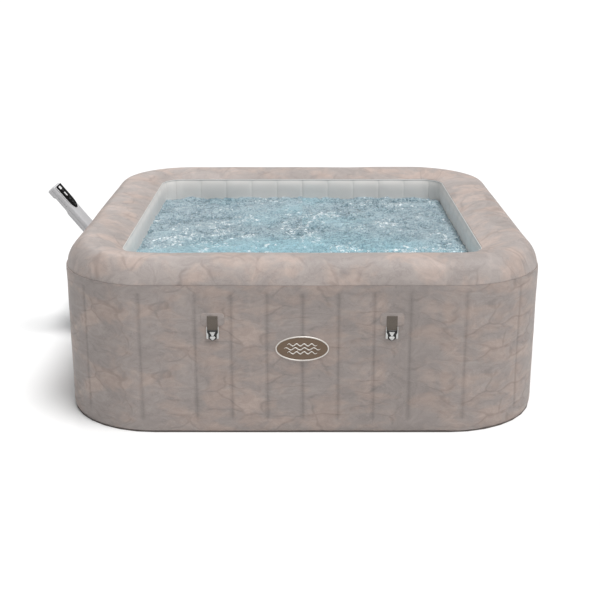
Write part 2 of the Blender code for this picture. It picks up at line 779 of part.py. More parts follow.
def make_arm():
    """The control arm on the pump's top: two shells, the dark panel, its display window and its keys."""
    lean = ARM_LEAN
    up = Vector((-math.sin(lean), 0, math.cos(lean)))
    normal = Vector((math.cos(lean), 0, math.sin(lean)))
    bend = Vector((-ARM_BEND_RADIUS * (1 - math.cos(lean)), 0, ARM_BEND_RADIUS * math.sin(lean)))
    head_end = ARM_BASE + Vector((0, 0, ARM_STUB)) + bend + up * ARM_STRAIGHT
    turn = Matrix((Vector((0, 1, 0)), up, normal)).transposed().to_euler()
    head = empty("arm_head", head_end, turn)
    front, front_core = arm_half("arm_front_shell", True, 0.0145)
    back, back_core = arm_half("arm_back_shell", False, 0.0145)
    lens_top = ARM_HALF_DEPTH + 0.0008
    lens_low = lens_top - PANEL_THICKNESS
    bm = bmesh.new()
    add_loft(bm, panel_outline(0.0, lens_low, lens_top))
    lens = make_object("panel_lens", bm, panel_gloss())
    bm = bmesh.new()
    add_loft(bm, panel_outline(-0.0004, lens_low - 0.0004, lens_top + 0.002))
    pocket = make_object("panel_pocket", bm, panel_gloss())
    cut(front, pocket)
    for obj in (front, front_core, back, back_core, lens, pocket):
        obj.parent = head
    windows = [("display_window", 0.0155, 0.016, 0.028)] + list(KEYS)
    for name, place, length, width in windows:
        finish = display_white() if name in ("display_window", "key_select") else key_grey()
        centre = (0.0, -PANEL_START - place, lens_top)
        high = 0.0002 if name == "display_window" else 0.0006
        bm = bmesh.new()
        add_pad(bm, width / 2 - 0.0004, length / 2 - 0.0004, -PANEL_THICKNESS + KEY_TRAVEL_SPACE, high)
        pad = make_object(name, bm, finish)
        bm = bmesh.new()
        add_pad(bm, width / 2, length / 2, -PANEL_THICKNESS - 0.001, 0.003)
        hole = make_object(name + "_hole", bm, finish)
        cut(lens, hole)
        for obj in (pad, hole):
            obj.parent = head
            obj.location = centre


def add_pad(bm, half_x, half_y, low, high):
    corner = min(half_x, half_y) * 0.6
    rings = []
    for z in (low, high):
        rings.append(rounded_rectangle((-half_x, -half_y), (half_x, half_y), (corner,) * 4, z, 3))
    add_loft(bm, rings)


clear_scene()
make_outer_wall()
make_top_ring()
make_liner()
make_base_band()
make_bubble_channel()
make_baffles()
for clip in CLIPS:
    make_clip(*clip)
make_badge()
make_screw_port("air_valve_body", "air_valve_cap", AIR_VALVE, VALVE_RADIUS, 0.020)
make_screw_port("drain_fitting", "drain_cap", DRAIN, DRAIN_RADIUS, WALL_HALF - LINER_HALF + 0.0005)
make_wall_pipes()
make_air_hose()
make_filter()
make_pump_casing()
make_pump_ports()
make_water_pump()
make_heater()
make_blower()
make_board_and_gland()
make_arm()
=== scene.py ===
import math

import bmesh
import bpy
import numpy as np
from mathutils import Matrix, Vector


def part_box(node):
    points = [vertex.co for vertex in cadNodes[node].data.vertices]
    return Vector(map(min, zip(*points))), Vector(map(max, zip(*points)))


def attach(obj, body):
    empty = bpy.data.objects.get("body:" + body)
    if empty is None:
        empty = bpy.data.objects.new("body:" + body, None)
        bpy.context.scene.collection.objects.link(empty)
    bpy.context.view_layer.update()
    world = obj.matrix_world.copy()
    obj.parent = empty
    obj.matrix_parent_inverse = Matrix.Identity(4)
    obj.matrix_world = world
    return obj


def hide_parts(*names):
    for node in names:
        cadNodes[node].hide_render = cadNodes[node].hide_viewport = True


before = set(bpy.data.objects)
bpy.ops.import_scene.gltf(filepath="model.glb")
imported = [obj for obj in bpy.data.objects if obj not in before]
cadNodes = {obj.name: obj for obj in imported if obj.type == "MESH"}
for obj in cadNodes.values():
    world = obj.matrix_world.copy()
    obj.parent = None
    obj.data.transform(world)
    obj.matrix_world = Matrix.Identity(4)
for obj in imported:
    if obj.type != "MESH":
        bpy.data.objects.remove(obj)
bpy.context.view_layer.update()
print("frame loaded:", len(cadNodes), "nodes")


# small tools for meshes

def smoothStep(low, high, value):
    # 3t^2 - 2t^3, with t running from 0 at low to 1 at high
    t = np.clip((value - low) / (high - low), 0, 1)
    return t * t * (3 - 2 * t)


def softNoise(x, y, seed):
    # random values from -1 to 1 on a square lattice, blended between the four nearest by smooth steps
    table = np.random.default_rng(seed).uniform(-1, 1, (128, 128))
    cellX, cellY = np.floor(x).astype(int), np.floor(y).astype(int)
    fx, fy = smoothStep(0, 1, x - cellX), smoothStep(0, 1, y - cellY)
    cellX, cellY = cellX % 127, cellY % 127
    near = table[cellX, cellY] * (1 - fx) + table[cellX + 1, cellY] * fx
    far = table[cellX, cellY + 1] * (1 - fx) + table[cellX + 1, cellY + 1] * fx
    return near * (1 - fy) + far * fy


def bell(value, width):
    return np.exp(-((value / width) ** 2))


def flattened(value, power):
    # a power that keeps the sign
    return np.sign(value) * np.abs(value) ** power


def finishMesh(mesh, finish, slot=None, node=None, body="tub", sharp=40):
    # merges doubles, turns the faces outwards, and hands the piece to its body
    bm = bmesh.new()
    bm.from_mesh(mesh)
    bmesh.ops.remove_doubles(bm, verts=bm.verts, dist=1e-6)
    bmesh.ops.dissolve_degenerate(bm, edges=bm.edges, dist=1e-7)
    bmesh.ops.recalc_face_normals(bm, faces=bm.faces)
    bm.to_mesh(mesh)
    bm.free()
    mesh.shade_smooth()
    mesh.set_sharp_from_angle(angle=math.radians(sharp))
    mesh.materials.append(finishes[finish])
    piece = bpy.data.objects.new(mesh.name, mesh)
    bpy.context.scene.collection.objects.link(piece)
    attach(piece, body)
    if node:
        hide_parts(node)


def gridFaces(rows, columns):
    # the four corners of each cell, row by row, for a grid of rows x columns points
    corner = np.arange(rows * columns).reshape(rows, columns)
    cells = (corner[:-1, :-1], corner[:-1, 1:], corner[1:, 1:], corner[1:, :-1])
    return np.stack(cells, axis=-1).reshape(-1, 4)


def gridMesh(name, points, uv=None, extra=None):
    # a surface from a grid of points (rows, columns, 3); repeated rows and columns close later
    rows, columns = points.shape[:2]
    faces = gridFaces(rows, columns)
    mesh = bpy.data.meshes.new(name)
    mesh.vertices.add(rows * columns)
    mesh.vertices.foreach_set("co", points.astype(np.float32).ravel())
    mesh.loops.add(faces.size)
    mesh.loops.foreach_set("vertex_index", faces.ravel().astype(np.int32))
    mesh.polygons.add(len(faces))
    mesh.polygons.foreach_set("loop_start", np.arange(0, faces.size, 4, dtype=np.int32))
    mesh.update(calc_edges=True)
    if uv is not None:
        layer = mesh.uv_layers.new(name="UVMap")
        layer.data.foreach_set("uv", uv.reshape(-1, 2)[faces.ravel()].astype(np.float32).ravel())
    for label, values in (extra or {}).items():
        attribute = mesh.attributes.new(label, "FLOAT", "POINT")
        attribute.data.foreach_set("value", values.astype(np.float32).ravel())
    return mesh


def closedUp(ring):
    return np.concatenate([ring, ring[:1]])


def closedEnds(points):
    # a grid with one more row at each end, all of it at the middle of the end row
    ends = [points[[i]].mean(axis=1, keepdims=True).repeat(points.shape[1], axis=1) for i in (0, -1)]
    return np.concatenate([ends[0], points, ends[1]])


def onCircle(angle, radiusX=1, radiusY=None):
    return np.column_stack([radiusX * np.cos(angle), (radiusY or radiusX) * np.sin(angle)])


def outlineNormals(outline):
    # outward normals of a flat outline that runs counter-clockwise, from the chord across each point
    chord = np.roll(outline, -1, axis=0) - np.roll(outline, 1, axis=0)
    normal = np.stack([chord[:, 1], -chord[:, 0]], axis=1)
    return normal / np.linalg.norm(normal, axis=1, keepdims=True)


def plateMesh(name, outline, steps, place):
    # an outline (n, 2) drawn once for each step (inset, height), its first and last rows filled
    normal = outlineNormals(outline)
    count = len(outline)
    rows = [np.column_stack([outline - normal * inset, np.full(count, height)]) for inset, height in steps]
    points = np.concatenate([place(row) for row in rows])
    faces = []
    for row in range(len(steps) - 1):
        here = np.arange(count) + row * count
        ahead = np.roll(np.arange(count), -1) + row * count
        faces += np.stack([here, ahead, ahead + count, here + count], axis=1).tolist()
    faces.append(list(range(count))[::-1])
    faces.append(list(range(count * (len(steps) - 1), count * len(steps))))
    mesh = bpy.data.meshes.new(name)
    mesh.from_pydata(points.tolist(), [], faces)
    return mesh


def turnedMesh(name, profile, centre, along, sides=48, ribs=None):
    # a profile of (radius, height) turned about an axis; ribs = (count, depth, rows) waves those rows
    profile = np.array(profile, float)
    angle = np.linspace(0, 2 * np.pi, sides + 1)
    radius = np.repeat(profile[:, :1], sides + 1, axis=1)
    if ribs:
        count, depth, rows = ribs
        wave = depth * (0.5 - 0.5 * np.tanh(3 * np.cos(count * angle)))
        radius[rows] -= wave
    axis = np.array(along, float)
    side = np.cross(axis, (0, 0, 1)) if abs(axis[2]) < 0.9 else np.array((1, 0, 0))
    side = side / np.linalg.norm(side)
    up = np.cross(axis, side)
    points = (radius * np.cos(angle))[..., None] * side + (radius * np.sin(angle))[..., None] * up
    points = points + profile[:, 1][:, None, None] * axis + np.array(centre)
    return gridMesh(name, points)


def sweptMesh(name, path, radius, sides=12, closed=False):
    # a round section carried along a path of points
    path = np.array(path, float)
    if closed:
        direction = closedUp(np.roll(path, -1, axis=0) - np.roll(path, 1, axis=0))
        path = closedUp(path)
    else:
        direction = np.gradient(path, axis=0)
    direction /= np.linalg.norm(direction, axis=1, keepdims=True)
    side = np.cross(direction, (0.13, 0.21, 1))
    side /= np.linalg.norm(side, axis=1, keepdims=True)
    up = np.cross(side, direction)
    angle = np.linspace(0, 2 * np.pi, sides + 1)
    radius = np.broadcast_to(np.asarray(radius, float), (len(path),))
    around = np.cos(angle)[None, :, None] * side[:, None] + np.sin(angle)[None, :, None] * up[:, None]
    points = path[:, None] + around * radius[:, None, None]
    if not closed:
        ends = [np.repeat(path[i][None, None], sides + 1, axis=1) for i in (0, -1)]
        points = np.concatenate([ends[0], points, ends[1]])
    return gridMesh(name, points)


def roundedOutline(halfX, halfY, radius, count=8):
    # a rectangle with quarter-circle corners, counter-clockwise from the right
    quarter = np.linspace(0, np.pi / 2, count)
    corners = []
    for turn, signX, signY in ((0, 1, 1), (1, -1, 1), (2, -1, -1), (3, 1, -1)):
        angle = quarter + turn * np.pi / 2
        centre = np.array([signX * (halfX - radius), signY * (halfY - radius)])
        corners.append(centre + radius * onCircle(angle))
    return np.concatenate(corners)


def ellipseOutline(semiX, semiY, count=96):
    return onCircle(np.linspace(0, 2 * np.pi, count, endpoint=False), semiX, semiY)


# small tools for materials

def shade(red, green, blue):
    # display values from 0 to 255 as a linear colour
    values = np.array([red, green, blue]) / 255
    linear = np.where(values <= 0.04045, values / 12.92, ((values + 0.055) / 1.055) ** 2.4)
    return (*linear.tolist(), 1)


def add(tree, kind, inputs=None, output=0, **settings):
    # a node with its settings, and its inputs given as values or as other nodes' outputs
    node = tree.nodes.new("ShaderNode" + kind)
    for label, value in settings.items():
        setattr(node, label, value)
    for label, value in (inputs or {}).items():
        if isinstance(value, Wire):
            tree.links.new(value.socket, node.inputs[label])
        else:
            node.inputs[label].default_value = value
    return Wire(tree, node.outputs[output])


class Wire:
    # a node's output, which can be added, subtracted and multiplied like a number
    def __init__(self, tree, socket):
        self.tree = tree
        self.socket = socket

    def out(self, label):
        return Wire(self.tree, self.socket.node.outputs[label])

    def sums(self, operation, other=0):
        return add(self.tree, "Math", {0: self, 1: other}, operation=operation)

    def __add__(self, other):
        return self.sums("ADD", other)

    def __sub__(self, other):
        return self.sums("SUBTRACT", other)

    def __mul__(self, other):
        return self.sums("MULTIPLY", other)

    def vector(self, operation, other, output=0):
        return add(self.tree, "VectorMath", {0: self, 1: other}, output, operation=operation)

    def tint(self, colour):
        return add(self.tree, "VectorMath", {0: colour, "Scale": self}, operation="SCALE")

    def mix(self, first, second):
        # goes from the first colour to the second
        return add(self.tree, "Mix", {0: self, 6: first, 7: second}, 2, data_type="RGBA")

    def ranged(self, low, high, toLow=0, toHigh=1):
        labels = {"Value": self, "From Min": low, "From Max": high, "To Min": toLow, "To Max": toHigh}
        return add(self.tree, "MapRange", labels, interpolation_type="SMOOTHSTEP")

    def noise(self, scale, detail=4, roughness=0.55, distortion=0, output=0):
        labels = {"Vector": self, "Scale": scale, "Detail": detail, "Roughness": roughness}
        return add(self.tree, "TexNoise", {**labels, "Distortion": distortion}, output)

    def cells(self, scale, feature="F1", **labels):
        return add(self.tree, "TexVoronoi", {"Vector": self, "Scale": scale, **labels}, feature=feature)

    def into(self, shader, label="Base Color"):
        self.tree.links.new(self.socket, shader.inputs[label])

    def bump(self, shader, strength, distance):
        labels = {"Height": self, "Strength": strength, "Distance": distance}
        add(self.tree, "Bump", labels).into(shader, "Normal")


def startMaterial(name, roughness, metallic=0, specular=0.5):
    material = bpy.data.materials.new(name)
    material.use_nodes = True
    shader = material.node_tree.nodes["Principled BSDF"]
    shader.inputs["Roughness"].default_value = roughness
    shader.inputs["Metallic"].default_value = metallic
    shader.inputs["Specular IOR Level"].default_value = specular
    return material, material.node_tree, shader


def objectPlace(tree, scale=(1, 1, 1)):
    return add(tree, "Mapping", {"Vector": add(tree, "TexCoord", output="Object"), "Scale": scale})


def flatPlace(tree):
    return add(tree, "UVMap", uv_map="UVMap")


def attribute(tree, name):
    return add(tree, "Attribute", output="Fac", attribute_name=name)


def plainFinish(name, colour, roughness, metallic=0, grain=400, change=0.06, depth=0.12, specular=0.5):
    # one colour with a soft large change, a fine grain in the bump and a slightly uneven gloss
    material, tree, shader = startMaterial(name, roughness, metallic, specular)
    place = objectPlace(tree)
    place.noise(14).ranged(0.3, 0.7, 1 - change, 1 + change).tint(shade(*colour)[:3]).into(shader)
    place.noise(35).ranged(0.3, 0.7, roughness - 0.05, roughness + 0.05).into(shader, "Roughness")
    place.noise(grain, 3).bump(shader, depth, 0.0005)
    return material


def streakFinish(name, colour, start, stretch, pattern, tones, bump=None):
    # one colour lightened and darkened by a noise that is stretched along one axis
    material, tree, shader = startMaterial(name, *start)
    streak = objectPlace(tree, stretch).noise(*pattern).ranged(0.3, 0.7, *tones)
    streak.tint(colour[:3]).into(shader)
    if bump:
        streak.bump(shader, *bump)
    return material


stonePrint = {
    "repeat": 0.262,            # height of the print's repeat on the wall
    "wrapRadius": 0.075,        # radius of the cylinder that the repeat is wrapped on in noise space
    "warp": 0.1,
    "slabScale": 6,
    "ash": (164, 155, 151),
    "sand": (179, 163, 155),
    "crackTone": 0.85,
    # how dark the painted shade in the weld grooves, under the seam, at the base and around the clips gets
    "paintedShadeTone": 0.85,
}


def stoneVinyl(name, wrapped, paintedLightGain):
    # slate printed on vinyl: two tones that drift into one another, slabs a little apart in tone,
    # broken cracks along the slabs' edges and fine veins; painted shade darkens the weld grooves,
    # the seam, the base and the clips, and each copy is painted lighter or darker overall as light and shade
    material, tree, shader = startMaterial(name, 0.55, 0, 0.3)
    flat = flatPlace(tree)
    place = flat
    if wrapped:
        split = add(tree, "SeparateXYZ", {0: flat})
        turn = split.out(1) * (2 * math.pi / stonePrint["repeat"])
        across = turn.sums("SINE") * stonePrint["wrapRadius"]
        deep = turn.sums("COSINE") * stonePrint["wrapRadius"]
        place = add(tree, "CombineXYZ", {0: split, 1: across, 2: deep})
    swirl = place.noise(5, 2.5, 0.45, output=1).vector("SUBTRACT", (0.5, 0.5, 0.5))
    pushed = add(tree, "VectorMath", {0: swirl, "Scale": 2 * stonePrint["warp"]}, operation="SCALE")
    warped = place.vector("ADD", pushed)
    slabScale = stonePrint["slabScale"]
    pick = add(tree, "SeparateColor", {0: warped.cells(slabScale, "SMOOTH_F1", Smoothness=0.5).out("Color")})
    drift = place.noise(8, 5, 0.6, 0.4) + pick * 0.11
    tones = drift.ranged(0.47, 0.7).mix(shade(*stonePrint["ash"]), shade(*stonePrint["sand"]))
    slabTone = pick.out(1).ranged(0.2, 0.8, 0.955, 1.045)
    fromCentre = warped.vector("SUBTRACT", warped.cells(slabScale).out("Position"))
    relief = fromCentre.vector("DOT_PRODUCT", (0.5, 0.8, 0.3), "Value").ranged(-0.08, 0.08, 0.975, 1.025)
    ripple = warped.noise(22, 8, 0.66, 1).ranged(0.25, 0.75, 0.895, 1.105)
    speckle = place.noise(260, 3).ranged(0.2, 0.8, 0.945, 1.055)
    broken = place.noise(8, 2).ranged(0.4, 0.58)
    crack = warped.cells(slabScale, "DISTANCE_TO_EDGE").ranged(0, 0.06, 1, 0) * broken
    vein = (warped.noise(5, 7, 0.6) - 0.5).sums("ABSOLUTE").ranged(0, 0.014, 0.6, 0)
    dark = crack.sums("MAXIMUM", vein * drift.ranged(0.5, 0.75, 1, 0.4))
    cracked = dark.ranged(0, 1, 1, stonePrint["crackTone"])
    # painted shade read from the skin: darker in the weld grooves, under the seam, at the base and around
    # the clips
    paintedShading = attribute(tree, "paintedShade").ranged(0, 1, 1, stonePrint["paintedShadeTone"])
    printed = ripple * slabTone * relief * (speckle * cracked)
    # the gain paints a whole copy of the print lighter or darker, as painted light and shade
    (printed * paintedShading * paintedLightGain).tint(tones).into(shader)
    place.noise(12).ranged(0.3, 0.7, 0.5, 0.6).into(shader, "Roughness")
    flat.cells(700).bump(shader, 0.1, 0.0004)
    return material


def greyVinyl():
    material, tree, shader = startMaterial("greyVinyl", 0.42, 0, 0.4)
    flat = flatPlace(tree)
    flat.noise(6).ranged(0.3, 0.7, 0.97, 1.03).tint(shade(236, 231, 227)[:3]).into(shader)
    flat.cells(600).bump(shader, 0.12, 0.0004)
    return material


def webbingWeave():
    # diagonal ribs of a woven tape, from the piece's own UV in metres
    material, tree, shader = startMaterial("webbingWeave", 0.85, 0, 0.2)
    split = add(tree, "SeparateXYZ", {0: flatPlace(tree)})
    slant = split.out(1) + split.sums("PINGPONG", 0.0035)
    rib = (slant * (2 * math.pi / 0.0022)).sums("SINE")
    rib.ranged(-1, 1, 0.78, 1.12).tint(shade(109, 101, 93)[:3]).into(shader)
    rib.bump(shader, 0.5, 0.0003)
    shader.inputs["Sheen Weight"].default_value = 0.25
    return material


def boardGreen():
    # a circuit board: green mask with lighter straight tracks on a fine grid
    material, tree, shader = startMaterial("boardGreen", 0.35)
    labels = {"Vector": objectPlace(tree), "Scale": 90, "Mortar Size": 0.03}
    add(tree, "TexBrick", labels, 1).mix(shade(28, 92, 52), shade(70, 140, 84)).into(shader)
    return material


bathLook = {
    "deep": (78, 106, 118),
    "shallow": (166, 185, 193),
    "teal": (150, 198, 211),
    "foam": (240, 246, 248),
}


def bathWaterLook():
    # bubbling water: painted light on its crests and painted shade in its troughs; the front and middle
    # are more teal; short strokes and round specks are foam
    material, tree, shader = startMaterial("bathWaterLook", 0.12, 0, 0.4)
    foam, paintedCrestLight, tealShare = (attribute(tree, label) for label in ("foam", "paintedCrestLight", "tealShare"))
    deep, shallow, teal, white = (shade(*bathLook[label]) for label in ("deep", "shallow", "teal", "foam"))
    place = objectPlace(tree).vector("MULTIPLY", (1, 0.6, 1))
    small = place.noise(58, 4, 0.62, 2.5)
    mottle = small.ranged(0.36, 0.64)
    # painted light and shade: the crests lighter and the troughs darker, mixed with a random mottle
    grey = (paintedCrestLight * 0.8 + mottle).ranged(0.35, 1.45).mix(deep, shallow)
    # more teal where the teal share is high: towards the front and the middle
    body = (tealShare * mottle.ranged(0, 1, 0.45, 0.85)).mix(grey, teal)
    line = (place.noise(30, 2, 0.5, 2.5) - 0.5).sums("ABSOLUTE").ranged(0.01, 0.055, 1, 0)
    clump = (place.noise(9, 3, 0.6) + foam * 0.22).ranged(0.58, 0.72)
    gathered = foam * 0.16 + clump * 0.17
    broken = (place.noise(40, 2) + gathered).ranged(0.7, 0.82)
    bubbles = place.cells(34)
    chosen = add(tree, "SeparateColor", {0: bubbles.out("Color")}).ranged(0.72, 0.8)
    dots = bubbles.ranged(0.2, 0.36, 1, 0) * chosen * gathered.ranged(0.12, 0.24)
    strokes = (line * broken).sums("MAXIMUM", dots)
    (strokes * 0.9).mix(body, white).into(shader)
    strokes.ranged(0, 1, 0.1, 0.5).into(shader, "Roughness")
    (small + line * 0.25).bump(shader, 0.8, 0.006)
    return material


# each plain finish: its colour, roughness, and what differs from the usual
plainLooks = {
    "darkVinyl": ((96, 88, 84), 0.55, {}),
    "clipGrey": ((206, 206, 204), 0.38, {"grain": 700}),
    "clipBlack": ((20, 20, 19), 0.45, {"grain": 700}),
    "badgeSilver": ((222, 217, 211), 0.42, {"metallic": 0.4, "grain": 900, "depth": 0.03}),
    "casingGrey": ((196, 196, 198), 0.4, {"grain": 900, "change": 0.03, "depth": 0.1}),
    "casingPale": ((238, 238, 240), 0.35, {"grain": 900, "change": 0.02, "depth": 0.06}),
    "linerEdge": ((214, 212, 209), 0.4, {"grain": 500, "change": 0.02}),
    "moulding": ((58, 58, 60), 0.5, {"grain": 800}),
    "panelGloss": ((4, 4, 5), 0.45, {"grain": 300, "change": 0.02, "depth": 0.01, "specular": 0.03}),
    "displayWhite": ((246, 246, 246), 0.3, {"grain": 300, "change": 0.01, "depth": 0.02}),
    "keyGrey": ((30, 30, 32), 0.45, {"grain": 900, "depth": 0.05, "specular": 0.2}),
    "iconGrey": ((120, 120, 122), 0.4, {"grain": 900, "depth": 0.02}),
    "rubber": ((34, 34, 34), 0.8, {"grain": 500}),
}
finishes = {name: plainFinish(name, *look, **more) for name, (*look, more) in plainLooks.items()}
finishes |= {
    # one print in two copies: the wall's painted 12 % darker as painted shade, the ring's 2 % lighter as
    # painted light
    "shadedWallStone": stoneVinyl("shadedWallStone", True, 0.88),
    "litRimStone": stoneVinyl("litRimStone", False, 1.02),
    "greyVinyl": greyVinyl(),
    "webbing": webbingWeave(),
    "badgeBrown": streakFinish("brushedBadge", shade(112, 93, 76), (0.42, 0.25, 0.5), (3, 1, 160),
                               (9, 4), (0.9, 1.1), (0.08, 0.0003)),
    "steel": streakFinish("brushedSteel", (0.62, 0.62, 0.61), (0.3, 1), (1, 1, 30),
                          (60, 4), (0.88, 1.08)),
    "paper": streakFinish("pleatedPaper", shade(222, 228, 236), (0.9, 0, 0.2), (1, 1, 1),
                          (260, 5, 0.7, 1), (0.92, 1.04), (0.3, 0.0004)),
    "board": boardGreen(),
    "water": bathWaterLook(),
}
print("materials made:", len(finishes))


# camera, floor and light

stageSet = {
    "cameraPlace": (0, -4.4382, 1.6794),
    "cameraPitch": 0.2935,      # radians below level
    "lens": 63.23,
    "shift": (-0.0037, -0.0441),
    "floorTone": (238, 238, 238),
    "floorReach": 300,
    "skyStrength": 0.33,
}


def intoScene(name, data):
    thing = bpy.data.objects.new(name, data)
    bpy.context.scene.collection.objects.link(thing)
    return thing


def makeStage():
    camera = bpy.data.cameras.new("camera")
    camera.lens = stageSet["lens"]
    camera.sensor_width = 36
    camera.shift_x, camera.shift_y = stageSet["shift"]
    holder = intoScene("camera", camera)
    holder.location = stageSet["cameraPlace"]
    holder.rotation_euler = (math.pi / 2 - stageSet["cameraPitch"], 0, 0)
    bpy.context.scene.camera = holder
    reach, low = stageSet["floorReach"], -0.0004
    corners = [[[-reach, -reach, low], [reach, -reach, low]], [[-reach, reach, low], [reach, reach, low]]]
    ground = gridMesh("floor", np.array(corners))
    paint, tree, shader = startMaterial("floorPaint", 0.9, 0, 0.1)
    shader.inputs["Base Color"].default_value = shade(*stageSet["floorTone"])
    ground.materials.append(paint)
    intoScene("floor", ground)
    world = bpy.data.worlds.new("studio")
    world.use_nodes = True
    sky = world.node_tree.nodes["Background"]
    sky.inputs[0].default_value = (1, 1, 1, 1)
    sky.inputs[1].default_value = stageSet["skyStrength"]
    bpy.context.scene.world = world
    bpy.context.scene.view_settings.view_transform = "Standard"


softLights = {
    "softSun": {"direction": (0.24, -0.2, 1), "angle": 26, "strength": 2.95},
    "glintSun": {"direction": (-0.2, 0.85, 0.6), "angle": 6, "strength": 0.4},
}


def makeLights():
    # a wide soft sun a little to the right of overhead, and a weak one behind for the glints on the water
    for label, light in softLights.items():
        lamp = bpy.data.lights.new(label, "SUN")
        lamp.angle = math.radians(light["angle"])
        lamp.energy = light["strength"]
        holder = intoScene(label, lamp)
        x, y, z = light["direction"]
        holder.rotation_euler = (math.atan2(math.hypot(x, y), z), 0, math.atan2(y, x) + math.pi / 2)


makeStage()
makeLights()
print("stage ready")


# the tub's plan

wallEnd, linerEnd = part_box("outer_wall")[1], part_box("inner_wall")[1]
tub = {
    "flat": 0.54,                       # from the middle to a corner's centre
    "wallHalf": wallEnd.x,
    "seamZ": wallEnd.z,
    "rimTopZ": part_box("top_ring")[1].z,
    "rimHalf": 0.9,
    "crestHalf": 0.822,
    "rimRound": 0.118,
    "linerHalf": linerEnd.x,
    "linerTopZ": linerEnd.z,
    "outerWelds": (0, 0.128, 0.256, 0.385, 0.584),
    "linerWelds": (0, 0.125, 0.25, 0.375, 0.5),
    "basinCorner": 0.1,                # radius of the basin's corners
}
tub["corner"] = tub["wallHalf"] - tub["flat"]
tub["basinFlat"] = tub["linerHalf"] - tub["basinCorner"]
tub["pitch"] = 2 * tub["flat"] + tub["corner"] * math.pi / 2


def alongPlan(distance):
    # a rounded square walked from the back's middle: a straight run, then a quarter circle, four times;
    # gives the nearest point of the inner square and the outward normal
    run = distance + tub["flat"]
    side = np.floor(run / tub["pitch"])
    local = run - side * tub["pitch"]
    straight = np.minimum(local, 2 * tub["flat"]) - tub["flat"]
    turn = np.maximum(local - 2 * tub["flat"], 0) / tub["corner"]
    quarter = side * np.pi / 2
    point = np.stack([
        -straight * np.cos(quarter) - tub["flat"] * np.sin(quarter),
        -straight * np.sin(quarter) + tub["flat"] * np.cos(quarter),
    ], axis=-1)
    angle = np.pi / 2 + quarter + turn
    return point, np.stack([np.cos(angle), np.sin(angle)], axis=-1)


def weldStations(offsets, cornerShares):
    # places of the weld lines along the plan, closed on the back's middle
    pitch, flat = tub["pitch"], tub["flat"]
    found = []
    for side in range(4):
        found += [side * pitch + sign * offset for offset in offsets for sign in (1, -1)]
        found += [side * pitch + flat + share * (pitch - 2 * flat) for share in cornerShares]
    found = sorted({round(value % (4 * pitch), 6) for value in found})
    return np.array(found + [4 * pitch])


def clusteredStations(knots, count):
    # between two weld lines the points crowd towards both, as (1 - cos) / 2
    share = (1 - np.cos(np.linspace(0, np.pi, count + 1)[:-1])) / 2
    width = np.diff(knots)
    place = (knots[:-1, None] + width[:, None] * share).ravel()
    near = (width[:, None] * np.minimum(share, 1 - share)).ravel()
    wide = np.repeat(width, count)
    return np.append(place, knots[-1]), np.append(near, 0), np.append(wide, width[-1])


def skinPoints(place, half, height):
    # rows of outlines: the plan at each half-width and height, both (rows, columns) or (rows, 1);
    # inside the crest the corners' centres move out in a straight line to the basin's
    point, normal = alongPlan(place)
    half, height = np.broadcast_arrays(half, height + 0 * place[None, :])
    share = np.maximum(tub["crestHalf"] - half, 0) / (tub["crestHalf"] - tub["linerHalf"])
    flat = tub["flat"] + (tub["basinFlat"] - tub["flat"]) * share
    plan = point[None] * (flat / tub["flat"])[..., None] + (half - flat)[..., None] * normal[None]
    return np.concatenate([plan, height[..., None]], axis=-1)


def wallMesh(name, place, half, height, backHalf, extra=None):
    # an outline for each height, closed by two more at the back
    ends = np.array([height[-1], height[0]])
    front = skinPoints(place, half, height)
    points = np.concatenate([front, skinPoints(place, np.full((2, 1), backHalf), ends), front[:1]])
    rows = np.concatenate([height, ends, height[:1]])
    return gridMesh(name, points, np.stack(np.broadcast_arrays(place[None], rows), axis=-1), extra)


# outer wall

wallSkin = {
    "thickness": 0.008,
    "out": 0.0004,              # moves the whole skin out
    "pillow": 0.0024,           # how far a panel stands out between two weld lines
    "plain": 0.0026,            # the same above and below the weld lines
    "groove": 0.0012,
    "grooveWidth": 0.0062,
    "welds": (0.05, 0.536),    # the weld lines' lower and upper ends
    "weldEnd": 0.012,
    "seamPinch": (0.0015, 0.007),   # depth, and the height over which it fades
    "basePinch": (0.006, 0.009),
    "clipPlace": (0.32, 0.372),     # from a side's middle, height
    "clipFlat": 0.0002,         # the skin lies flat at this depth behind a clip
    "clipHalf": 0.047,          # half the width of the flat place
    "clipSpan": (0.34, 0.467),
    "clipFade": 0.016,
}


def bump(value, low, high, edge):
    # 1 between low and high, falling to 0 over the edge outside them
    return smoothStep(low - edge, low, value) * (1 - smoothStep(high, high + edge, value))


